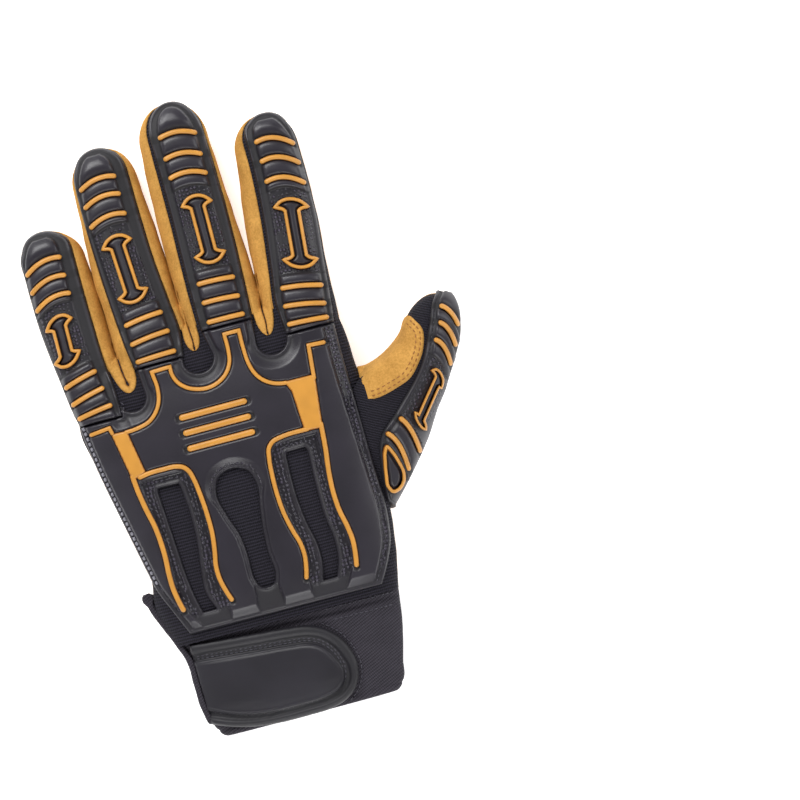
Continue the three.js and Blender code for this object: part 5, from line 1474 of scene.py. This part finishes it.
def tongue(left, right, tip, half, notch):
    """Suede tongue between two fingers: rows from its round end up into the valley between them, laid
    on the blended backs, with a crease above the notch."""
    length = 26.0
    t = length * np.linspace(0, 1, 60)[:, None] ** 1.3
    y = tip[1] + t
    s = np.linspace(-1, 1, 33)[None, :]
    low, high = suede_edge(left, 1, y), suede_edge(right, -1, y)
    join = smooth(2, 13, t)
    centre = tip[0] * (1 - join) + (low + high) / 2 * join
    width = half * (1 - join) + (high - low) / 2 * join
    width = width * np.sqrt(1 - (1 - np.clip(t / half / 1.9, 0, 1)) ** 2)
    x = centre + s * width
    y = np.broadcast_to(y, x.shape)
    surface = lambda a, b: smooth_max(
        smooth_max(limb_top(left, a, b), limb_top(right, a, b), 2.0), limb_top(HAND, a, b), 2.0)
    puff = 1.15 * np.sqrt(np.clip(1 - s ** 6, 0, 1)) * (0.4 + 0.6 * smooth(0, 2, t))
    wander = 0.06 * np.sin(y * 0.5)
    opening = smooth(notch - 7.0, notch - 5.0, y)
    slit = bump(wander, 0.08 + 0.14 * bump(notch - 5.0, 1.2, y), s) * opening
    lift = puff - 1.7 * slit - 1.4 * smooth(length - 11, length, t)
    top = lay_on(surface, x, y, lift)
    low_rim = lay_on(surface, x[:, [0, -1]], y[:, [0, -1]], np.full((len(x), 2), -1.2))
    points = np.concatenate([low_rim[:, :1], top, low_rim[:, 1:]], axis=1)
    return points, grid_faces(*points.shape[:2]), np.pad(slit, ((0, 0), (1, 1)))


def fourchette(name, left, right, tip, half, notch, material):
    """Flanks of two neighbouring fingers and the tongue that joins them."""
    left, right = FINGERS[left], FINGERS[right]
    start = tip[1] + FLANK_START
    points, faces, _ = gather([flank(left, 1, start, FLANK_LIFT), flank(right, -1, start, FLANK_LIFT)])
    thicken(build("flanks_" + name, points, faces, material), FLANK_WALL)
    points, faces, slit = tongue(left, right, tip, half, notch)
    # Painted shade: the slit's mark darkens the suede along the crease of the tongue.
    build("tongue_" + name, points, faces, material, ["fourchette_" + name], {"low": slit})


def thumb_sheet(back, lift):
    """A sheet on the thumb's back or front, up to its tip. The two meet below the guard at the end of
    the tilted ellipse's long axis, and a little below the inner silhouette."""
    along = np.concatenate([np.linspace(-8, 70, 60), 70.2 + 18 * np.sin(np.linspace(0.05, math.pi / 2, 20))])
    along = np.minimum(along, THUMB_TIP)[:, None]
    _, _, a, b, tilt = thumb_section(along)
    start = np.arctan2(np.maximum(b, 1e-3) * np.sin(tilt), np.maximum(a, 1e-3) * np.cos(tilt))
    seam = math.pi + start + 0.2
    low, high = (0.0, seam) if back else (seam - 0.04, 2 * math.pi + 0.04)
    turn = low + (high - low) * np.linspace(0, 1, 50)[None, :] - start
    return thumb_point(along, turn, lift + folds(along, turn * 10, 0.1))


def thumb_shell(knit, suede):
    """Back of the thumb in knit and its front in suede."""
    for back, node, lift, wall, material, slot in (
            (True, "thumb_back", 0.0, KNIT_WALL, knit, "knit"),
            (False, "thumb_front", SUEDE_LIFT, SUEDE_WALL, suede, "suede")):
        points = thumb_sheet(back, lift)
        faces = grid_faces(*points.shape[:2], flip=True)
        thicken(build("thumb_" + slot, points, faces, material, [node]), wall)


WEB_OUTER = [(49.2, -1.0), (56.3, -0.6), (61.8, 0.9), (68.9, 3.6), (73.4, 7.9), (77, 13.3), (78.8, 18.4),
             (79.1, 21.2), (77, 26.1), (75.3, 29.1)]
WEB_INNER = [(75.3, 29.1), (73.6, 28.6), (69.6, 23.2), (63.8, 18.5), (58, 15.4), (52, 13.8), (49.0, 13.9)]


def web_patch(material):
    """Suede crescent over the crotch of the thumb, laid on the blended backs of hand and thumb."""
    outline = path(WEB_OUTER, WEB_INNER, [WEB_INNER[-1], WEB_OUTER[0]])[:-1]
    depth = lambda a, b: depth_in(a, b, outline)
    x, y, faces, border = cut_grid(depth, (46, -3), (81, 33), 0.7)
    away = depth(x, y)
    height = 1.0 * rounded(0.9, away) + folds(y, x, 0.12) - 0.25 * bump(2.1, 0.5, away)
    height = height - 0.9 * smooth(53.0, 50.2, x)
    place = lambda a, b, h: np.stack([a, b, smooth_max(back_surface(a, b), 9.0, 2.0) + h], axis=-1)
    points, faces = with_skirt(x, y, faces, border, height, place)
    build("web_suede", points, faces, material, ["web_patch"])


KNUCKLE_PAD = path(
    [(-62, 20), (41.3, 18.7)], [(41.3, 18.7), (41.3, 46)],
    [(41.3, 46), (33, 57), (24, 50), (17.5, 41), (10, 52), (1.5, 61), (-7, 54), (-14, 43.5), (-21, 53),
     (-30, 58), (-38, 50), (-44.5, 37.5), (-50, 46), (-57, 49), (-63.3, 44)],
    [(-63.3, 44), (-62, 20)],
)[:-1]
PALM_PADS = {
    "index_side": [(12, 15), (20, 0), (31, -25), (34.4, -38), (28, -48.5), (16, -51), (4, -45.5), (-1.4, -34),
                   (-0.6, -16)],
    "little_side": [(-25, 12), (-17, 0), (-7, -24), (-4, -36), (-9, -47), (-24, -51), (-39, -46), (-46, -33),
                    (-41, -13)],
}


PAD_ROUND = 4.0  # width of a pad's rounded edge
PAD_STEP = 1.2  # grid of a pad


def padding(name, outline, node, material):
    """A quilted pad under the palm: it bulges down to the ground by a quarter round from its stitched
    edge, and its upper side lies in the palm."""
    depth = lambda a, b: depth_in(a, b, outline)
    x, y, faces, border = cut_grid(depth, outline.min(0) - 2, outline.max(0) + 2, PAD_STEP)
    away = depth(x, y)
    under = 2.0 - 1.9 * rounded(PAD_ROUND, away) * (1 - 0.45 * bump(2.4, 0.6, away)) + folds(y, x, 0.05)
    base = np.stack([x, y, np.maximum(under, 0.02)], axis=-1)
    top = np.stack([x, y, 2.6 + 0.3 * rounded(PAD_ROUND, away)], axis=-1)
    walls = np.stack([border[:, 1], border[:, 0], border[:, 0] + len(x), border[:, 1] + len(x)], axis=1)
    points = np.concatenate([top, base])
    piece = build("padding_" + name, points, np.concatenate([faces, faces[:, ::-1] + len(x), walls]),
                  material, [node], closed=True)


# Wrist

STRAP_EDGE = path(
    [(-60, -78.6), (-44, -79.0), (-34, -79.8), (-20, -81), (-6, -82.2), (2, -83.4), (8, -86), (13, -90.6),
     (16.4, -96.5), (17.8, -102.5), (17, -108.6), (14.2, -113.6), (9.6, -117.2), (3, -119.1), (-8, -119.6)],
    [(-8, -119.6), (-18, -119.5), (-28, -118.6), (-37, -116.6), (-46, -113.4), (-60, -108)],
)
STRAP_END = -47.4  # x where the strap turns down at the binding
STRAP_BASE = 1.5  # height of its groove
STRAP_RIM = 2.3  # half width of its rolled rim


def cuff(material):
    """Elastic cuff: a tube that rises from the wrist to its hem, with the fold of the knit band above it
    and soft creases beside the strap."""
    y = np.linspace(CUFF_END, WRIST + 1.2, 90)[:, None]
    angle = np.linspace(0, 2 * np.pi, 161)[None, :-1]
    fold = 0.9 * bump(-78.8, 1.3, y) - 0.7 * bump(-81.2, 0.8, y) + 0.5 * bump(-83.2, 1.1, y)
    fold = fold * np.clip(np.sin(angle), 0, 1)
    hem = 0.35 * smooth(-116.8, -117.6, y) - 0.3 * bump(-116.4, 0.5, y)
    creases = folds(y * 0.6, angle * 9, 0.22) * smooth(-118, -110, y)
    roll = -0.8 * (1 - rounded(1.2, y - CUFF_END))
    points = tube(CUFF, y, angle, fold + hem + creases + roll - 0.1)
    faces = grid_faces(*points.shape[:2], wrap=True, flip=True)
    thicken(build("cuff_elastic", points, faces, material, ["cuff"]), CUFF_WALL)


def strap(material):
    """Closing strap of the wrist: a thick rolled rim, a stitched groove and a flat raised panel, by the
    distance from its edge."""
    cut = np.array([(STRAP_END, -70), (30, -70), (30, -130), (STRAP_END + 0.9, -130)])
    depth = lambda a, b: np.minimum(depth_in(a, b, STRAP_EDGE), depth_in(a, b, cut))
    x, y, faces, border = cut_grid(depth, (-49, -121), (20, -77), 0.5)
    away = np.minimum(path_distance(x, y, STRAP_EDGE), 20) * (1 + 0.42 * smooth(-98, -112, y))
    end = x - STRAP_END
    rim = STRAP_BASE + 1.7 * np.sqrt(np.clip(1 - ((away - STRAP_RIM) / STRAP_RIM) ** 2, 0, 1))
    height = np.where(away < 2 * STRAP_RIM, rim, STRAP_BASE)
    panel = smooth(7.0, 7.8, away)
    welt = 0.5 * bump(8.2, 0.5, away)
    height = height + panel * (1.0 + 0.3 * smooth(8, 15, away)) + welt - 0.4 * bump(7.0, 0.3, away)
    height = height * (0.4 + 0.6 * rounded(1.0, end)) + folds(y, x * 0.5, 0.05)
    place = lambda a, b, h: lay_on(cuff_surface, a, b, h + 0.25)
    points, faces = with_skirt(x, y, faces, border, height, place)
    shade = np.concatenate([0.4 * (1 - panel), np.zeros(len(points) - len(x))])
    build("strap_moulded", points, faces, material, ["wrist_strap"], {"low": shade})


BINDING = [(-46.6, -113.2), (-48.1, -105), (-48.4, -95), (-48.8, -85), (-50.8, -79), (-53.6, -72),
           (-56.6, -65), (-58.3, -60), (-58.9, -56.8), (-58.4, -54.2)]


def binding(material):
    """Folded binding that ties the strap to the side of the hand: a tall rounded strip carried along its
    line, rolled to a loop at its upper end. The section is a superellipse of power 5."""
    line = run(BINDING, 0.8)
    count = len(line)
    t = np.linspace(0, 1, count)
    along = unit(np.gradient(line, axis=0))
    square = np.stack([-along[:, 1], along[:, 0]], axis=1)
    loop = smooth(0.91, 0.96, t)
    ends = np.sqrt(np.clip(1 - (np.abs(2 * t - 1) ** 40), 0, 1))
    half = (1.45 + 1.3 * loop + 0.05 * np.sin(t * 46)) * ends
    tall = (6.2 - 2.4 * loop - 1.2 * smooth(0.2, 0, t)) * (0.4 + 0.6 * ends)
    angle = np.linspace(0, 2 * np.pi, 41)[:-1]
    c, s = np.cos(angle), np.sin(angle)
    out = np.sign(c) * np.abs(c) ** 0.4 * half[:, None]
    z = 10.8 + np.sign(s) * np.abs(s) ** 0.4 * tall[:, None]
    points = np.stack([line[:, :1] + square[:, :1] * out, line[:, 1:] + square[:, 1:] * out, z], axis=-1)
    first, last = (np.broadcast_to(points[k].mean(0), points[:1].shape) for k in (0, -1))
    points = np.concatenate([first, points, last])
    faces = grid_faces(*points.shape[:2], wrap=True)
    build("binding_folded", points, faces, material, ["strap_binding"], closed=True)


# Stitching

def offset(line, distance):
    """A plan line moved sideways: to the left of its direction where the distance is positive."""
    along = unit(np.gradient(line, axis=0))
    return line + distance * np.stack([-along[:, 1], along[:, 0]], axis=1)


def closed_line(points):
    """A closed outline with its first point repeated at its end."""
    return np.concatenate([points, points[:1]])


def guard_stitching(material, sizes):
    """Black stitches that hold the guards: round the slots and notches of the hand guard, along its
    sides and round every finger guard."""
    flange = sizes["flange"] + GUARD_LIFT
    rows = [
        offset(run(GUARD_RIGHT), 1.3), offset(run(GUARD_RIGHT), 2.4),
        offset(closed_line(SLOT_MIDDLE), 0.75),
        offset(SLOT_LEFT, 1.1), offset(SLOT_LEFT, 2.9), offset(SLOT_RIGHT, 1.1), offset(SLOT_RIGHT, 2.9),
    ]
    for notch in NOTCHES[::-1]:
        rows.append(offset(notch_path(notch), -1.35))
    lines = [line_on(back_surface, row, flange) for row in rows]
    for finger in FINGERS.values():
        outline = guard_polygon(finger, False)
        outline = offset(outline[4:-4], 1.15)
        lines.append(line_on(finger_surface(finger), outline, flange))
    inner = np.linspace(3, 84, 120)
    share = np.full(120, 0.945)
    low = thumb_row(inner, share, flange)[0]
    lines.append((low, thumb_row(inner, share, flange + 1)[0] - low))
    pitch, length, radius = (sizes["stitch_" + key] for key in ("pitch", "length", "radius"))
    stitches("stitches_guards", lines, pitch, length, radius, material, "guard_rubber")


# Pitch, length and radius of the stitches that are not of the guards' black thread
SIDE_STITCH = (2.2, 1.6, 0.62)
CUFF_STITCH = (2.0, 1.4, 0.24)
SUEDE_STITCH = (2.3, 1.5, 0.26)


def side_stitching(material, sizes):
    """Thick grey stitches along the little finger's side of the hand guard."""
    row = offset(run(GUARD_LEFT[:-2]), 1.7)
    lines = [line_on(back_surface, row, sizes["flange"] + GUARD_LIFT + 0.5)]
    stitches("stitches_side", lines, *SIDE_STITCH, material, "guard_rubber")


def cuff_stitching(material):
    """Black stitches of the strap's groove, the cuff's hems and beside the strap's right edge."""
    in_groove = 1.75
    lines = [line_on(cuff_surface, offset(STRAP_EDGE[18:-18], -depth), in_groove) for depth in (5.3, 6.4)]
    for y, start, end, lift in ((-84.0, 13, 38, 0.35), (-79.0, 10, 39.5, 0.9)):
        lines.append(line_on(cuff_surface, run([(start, y), (end, y - 0.4)]), lift))
    beside = STRAP_EDGE[(STRAP_EDGE[:, 0] > 6) & (STRAP_EDGE[:, 1] > -117)]
    lines.append(line_on(cuff_surface, offset(beside, 1.3), 0.35))
    stitches("stitches_cuff", lines, *CUFF_STITCH, material, "elastic_twill")


def palm_lines(points):
    """The runs of a line under the palm, facing down, laid on the mirror image of the hand's back. The
    hand's own underside is flatter and covers them towards its sides."""
    middle_x, middle_z, half_width, _ = section(HAND, points[:, 1])
    z = 2 * middle_z - limb_top(HAND, points[:, 0], points[:, 1]) - 0.3
    line = np.column_stack([points, z])
    shown = (np.abs(points[:, 0] - middle_x) < 0.88 * half_width) & (points[:, 1] < HAND["tip"] - 4)
    cuts = np.flatnonzero(np.diff(shown.astype(int))) + 1
    runs = zip(np.split(line, cuts), np.split(shown, cuts))
    parts = [part for part, kept in runs if kept[0] and len(part) > 3]
    return [(part, np.tile((0.0, 0.0, -1.0), (len(part), 1))) for part in parts]


def suede_stitching(material):
    """Tan stitches: a double row round the crescent, and double rows on the palm."""
    lines = []
    outer = run(WEB_OUTER)
    for depth in (1.5, 3.4):
        row = offset(outer, depth)[2:-2]
        lines.append(line_on(back_surface, row[row[:, 0] > 51.0], 1.05))
    seams = [run([(-46, y), (30, y)]) for y in (-56, -58)]
    seams += [offset(closed_line(KNUCKLE_PAD), -depth) for depth in (1.6, 3.4)]
    for outline in PALM_PADS.values():
        seams += [offset(closed_line(loop_through(outline)), depth) for depth in (1.6, 3.4)]
    thumb_seam = run([(38, 8), (38.5, -20), (37, -35), (34, -45), (30, -57), (26, -74)])
    for seam in seams + [thumb_seam, offset(thumb_seam, -2.0)]:
        lines += palm_lines(seam)
    stitches("stitches_suede", lines, *SUEDE_STITCH, material, "suede")


# Operators

def looks():
    """The materials, made once from the scene's colours."""
    colours = bpy.context.scene.glove_colours
    made = bpy.data.materials
    if "suede_split_leather" not in made:
        suede_material(tuple(colours.suede))
        knit_material("rib_knit", tuple(colours.knit), bpy.context.scene.glove_sizes.rib_pitch * 1000)
        knit_material("rib_knit_thumb", tuple(colours.knit), 1.0, math.radians(28))
        rubber_material("moulded_rubber_black", tuple(colours.rubber), 0.36)
        rubber_material("moulded_strap", tuple(colours.strap), 0.42)
        orange_material(tuple(colours.orange), tuple(colours.orange_shaded_side))
        twill_material(tuple(colours.elastic))
        # The black thread is coloured a dark grey, lighter than the black rubber: painted highlight for the
        # glints along the stitches.
        thread_material("thread_black", linear("#44424c"), 0.4)
        thread_material("thread_grey", linear("#8e8d97"), 0.5)
        thread_material("thread_tan", linear("#9a6428"), 0.6)
        floor_material(0.6)
    return made


def millimetres(sizes):
    """The sizes of the relief and the sewing by name, in millimetres."""
    return {key: 1000 * getattr(sizes, key) for key in GloveSizes.__annotations__}


def colour_property(name, description, code):
    """A colour that the user may change, from its sRGB hex code."""
    return bpy.props.FloatVectorProperty(
        name=name, description=description, subtype="COLOR", size=3, min=0.0, max=1.0, default=linear(code))


def length_property(name, description, millimetres):
    """A length that the user may change, given in millimetres."""
    return bpy.props.FloatProperty(
        name=name, description=description, unit="LENGTH", subtype="DISTANCE", min=0.0, precision=5,
        default=millimetres / 1000)


class GloveColours(bpy.types.PropertyGroup):
    """Colours of the glove."""
    suede: colour_property("Suede", "Nap of the palm, the flanks and the crescent", "#c3924b")
    orange: colour_property("Orange rubber", "Tops of the bars and lines", "#c88c36")
    # Painted shade: the colour given to the sides of the bars and lines.
    orange_shaded_side: colour_property("Orange edge", "Sides of the bars and lines", "#8a4a14")
    rubber: colour_property("Black rubber", "Guards", "#25222a")
    knit: colour_property("Knit", "Back of the hand and fingers", "#1c1a22")
    elastic: colour_property("Elastic", "Cuff and binding", "#2e2b32")
    strap: colour_property("Strap", "Closing strap of the wrist", "#1f1d24")


class GloveSizes(bpy.types.PropertyGroup):
    """Sizes of the relief and the sewing."""
    flange: length_property("Flange", "Thickness of a guard's stitched edge", 1.3)
    deck: length_property("Deck", "Height of a guard's raised middle", 3.2)
    groove: length_property("Groove", "Height of the floor under an orange bar", 2.2)
    recess: length_property("Recess", "Height of the floor around a bone", 1.9)
    bar_top: length_property("Bar top", "Height of the top of an orange bar", 3.9)
    bar_width: length_property("Bar width", "Width of an orange bar", 2.1)
    bone_width: length_property("Bone width", "Width of the line of a bone", 1.5)
    rib_pitch: length_property("Rib pitch", "Distance between two ribs of the knit", 1.3)
    stitch_pitch: length_property("Stitch pitch", "Distance between two black stitches", 2.0)
    stitch_length: length_property("Stitch length", "Length of a black stitch", 1.4)
    stitch_radius: length_property("Stitch radius", "Half thickness of a black stitch", 0.22)


class MakeShell(bpy.types.Operator):
    """Knit back and suede palm of the hand and fingers"""
    bl_idname = "glove.make_shell"
    bl_label = "Hand and fingers"

    def execute(self, context):
        knit, suede = looks()["rib_knit"], looks()["suede_split_leather"]
        back = -SEAM_TURN, math.pi + SEAM_TURN
        palm = math.pi + SEAM_TURN - SEAM_LAP, 2 * math.pi - SEAM_TURN + SEAM_LAP
        shell_half("back_knit", "back_panel", back, 0.0, 0.12, KNIT_WALL, knit)
        shell_half("palm_suede", "palm_panel", palm, SUEDE_LIFT, 0.14, SUEDE_WALL, suede)
        return {"FINISHED"}


class MakeFlanks(bpy.types.Operator):
    """Suede flanks and tongues between the fingers"""
    bl_idname = "glove.make_flanks"
    bl_label = "Finger flanks"

    def execute(self, context):
        for row in FOURCHETTES:
            fourchette(*row, looks()["suede_split_leather"])
        return {"FINISHED"}


class MakeThumb(bpy.types.Operator):
    """Knit back and suede front of the thumb, and the crescent over its crotch"""
    bl_idname = "glove.make_thumb"
    bl_label = "Thumb"

    def execute(self, context):
        made = looks()
        thumb_shell(made["rib_knit_thumb"], made["suede_split_leather"])
        web_patch(made["suede_split_leather"])
        return {"FINISHED"}


class MakePadding(bpy.types.Operator):
    """Quilted pads under the palm"""
    bl_idname = "glove.make_padding"
    bl_label = "Palm padding"

    def execute(self, context):
        suede = looks()["suede_split_leather"]
        padding("knuckles", KNUCKLE_PAD, "knuckle_pad", suede)
        for name, outline in PALM_PADS.items():
            padding(name, loop_through(outline), "palm_pad_" + name, suede)
        return {"FINISHED"}


class MakeWrist(bpy.types.Operator):
    """Cuff, strap and binding"""
    bl_idname = "glove.make_wrist"
    bl_label = "Cuff and strap"

    def execute(self, context):
        made = looks()
        cuff(made["woven_elastic"])
        strap(made["moulded_strap"])
        binding(made["woven_elastic"])
        return {"FINISHED"}


class MakeHandGuard(bpy.types.Operator):
    """Guard of the hand with its orange lines and plain bars"""
    bl_idname = "glove.make_hand_guard"
    bl_label = "Hand guard"

    def execute(self, context):
        made, sizes = looks(), millimetres(context.scene.glove_sizes)
        hand_guard(made["moulded_rubber_black"], sizes)
        hand_trim(made["moulded_rubber_orange"], sizes)
        return {"FINISHED"}


class MakeFingerGuards(bpy.types.Operator):
    """Guards of the four fingers with their orange bars and bones"""
    bl_idname = "glove.make_finger_guards"
    bl_label = "Finger guards"

    def execute(self, context):
        made, sizes = looks(), millimetres(context.scene.glove_sizes)
        for name, finger in FINGERS.items():
            finger_guard(name, finger, made["moulded_rubber_black"], sizes)
            finger_trim(name, finger, made["moulded_rubber_orange"], sizes)
        return {"FINISHED"}


class MakeThumbGuard(bpy.types.Operator):
    """Guard of the thumb with its orange bars, bone and teardrop"""
    bl_idname = "glove.make_thumb_guard"
    bl_label = "Thumb guard"

    def execute(self, context):
        made, sizes = looks(), millimetres(context.scene.glove_sizes)
        thumb_guard(made["moulded_rubber_black"], made["moulded_rubber_orange"], sizes)
        return {"FINISHED"}


class MakeStitching(bpy.types.Operator):
    """Stitches of the guards, the cuff and the suede"""
    bl_idname = "glove.make_stitching"
    bl_label = "Stitching"

    def execute(self, context):
        made, sizes = looks(), millimetres(context.scene.glove_sizes)
        guard_stitching(made["thread_black"], sizes)
        side_stitching(made["thread_grey"], sizes)
        cuff_stitching(made["thread_black"])
        suede_stitching(made["thread_tan"])
        return {"FINISHED"}


def area_light(name, spot, size, power):
    """A square soft light that looks from a spot, in metres, to the middle of the floor."""
    lamp = bpy.data.lights.new(name, "AREA")
    lamp.size = size
    lamp.energy = power
    light = bpy.data.objects.new(name, lamp)
    light.location = spot
    light.rotation_euler = (-Vector(spot)).to_track_quat("-Z", "Y").to_euler()
    bpy.context.scene.collection.objects.link(light)


def studio_world():
    """White light from all round that fades toward the zenith, so that flat faces stay dark."""
    world = bpy.data.worlds.new("white_studio")
    world.use_nodes = True
    tree = world.node_tree
    way = add(tree, "SeparateXYZ", {"Vector": add(tree, "TexCoord").outputs["Generated"]}).outputs["Z"]
    settings = {"Value": way, "From Min": 0.1, "From Max": 0.9, "To Min": 0.5, "To Max": 0.14}
    strength = add(tree, "MapRange", settings).outputs["Result"]
    background = tree.nodes["Background"]
    background.inputs["Color"].default_value = (1, 1, 1, 1)
    tree.links.new(strength, background.inputs["Strength"])
    return world


# Soft lights: name, place in metres, size in metres, power in watts
LIGHTS = [
    ("key_light", (-0.45, 1.2, 1.25), 1.0, 30),
    ("right_light", (1.35, 0.1, 1.0), 1.0, 10),
    ("low_light", (-0.15, -1.35, 0.95), 1.0, 15),
    ("left_light", (-1.35, -0.2, 1.0), 0.8, 1.0),
]
VIEW_MIDDLE = (62.6, -4.0)  # where the camera looks down, on the drawing
VIEW_HEIGHT = 1.6  # metres over the floor
VIEW_WIDTH = 0.328  # metres across the picture, at the height of the guards
VIEW_PLANE = 0.022
VIEW_TURN = -15.0  # degrees between the picture and the hand
SENSOR = 36.0  # millimetres across the camera's sensor
FLOOR_REACH = 3000  # millimetres from the floor's middle to its sides
FLOOR_POINTS = 13  # along each of them


class MakeStage(bpy.types.Operator):
    """Floor, soft light and the camera over the glove"""
    bl_idname = "glove.make_stage"
    bl_label = "Stage"

    def execute(self, context):
        scene = context.scene
        steps = np.linspace(-FLOOR_REACH, FLOOR_REACH, FLOOR_POINTS)
        x, y = np.meshgrid(steps, steps)
        mesh = bpy.data.meshes.new("light_table")
        points = np.stack([x, y, np.zeros_like(x)], axis=-1).reshape(-1, 3) / 1000
        mesh.from_pydata(points.tolist(), [], grid_faces(FLOOR_POINTS, FLOOR_POINTS).tolist())
        mesh.materials.append(looks()["white_acrylic"])
        floor = bpy.data.objects.new("light_table", mesh)
        scene.collection.objects.link(floor)
        for light in LIGHTS:
            area_light(*light)
        scene.world = studio_world()
        scene.view_settings.view_transform = "Standard"
        middle = (np.array([*VIEW_MIDDLE, 0.0]) + SHIFT) / 1000
        lens = bpy.data.cameras.new("camera_above")
        lens.sensor_width = SENSOR
        lens.lens = SENSOR * (VIEW_HEIGHT - VIEW_PLANE) / VIEW_WIDTH
        camera = bpy.data.objects.new("camera_above", lens)
        camera.location = (middle[0], middle[1], VIEW_HEIGHT)
        camera.rotation_euler = (0, 0, math.radians(VIEW_TURN))
        scene.collection.objects.link(camera)
        scene.camera = camera
        return {"FINISHED"}


STEPS = [MakeShell, MakeFlanks, MakeThumb, MakePadding, MakeWrist, MakeHandGuard, MakeFingerGuards,
         MakeThumbGuard, MakeStitching, MakeStage]


class GlovePanel(bpy.types.Panel):
    """Lists the pieces of the glove and their sizes and colours"""
    bl_idname = "VIEW3D_PT_glove"
    bl_label = "Impact Work Glove"
    bl_space_type = "VIEW_3D"
    bl_region_type = "UI"
    bl_category = "Glove"

    def draw(self, context):
        layout = self.layout
        for step in STEPS:
            layout.operator(step.bl_idname)
        for group in (context.scene.glove_colours, context.scene.glove_sizes):
            for key in group.__annotations__:
                layout.prop(group, key)


CLASSES = [GloveColours, GloveSizes, *STEPS, GlovePanel]


def register():
    """Makes the classes known and hangs the two groups of properties on the scene."""
    for item in CLASSES:
        bpy.utils.register_class(item)
    bpy.types.Scene.glove_colours = bpy.props.PointerProperty(type=GloveColours)
    bpy.types.Scene.glove_sizes = bpy.props.PointerProperty(type=GloveSizes)


def unregister():
    """Takes back what register did."""
    del bpy.types.Scene.glove_sizes
    del bpy.types.Scene.glove_colours
    for item in reversed(CLASSES):
        bpy.utils.unregister_class(item)


def main():
    """Makes every piece."""
    register()
    for step in STEPS:
        getattr(bpy.ops.glove, step.bl_idname.split(".")[1])()


if __name__ == "__main__":
    main()
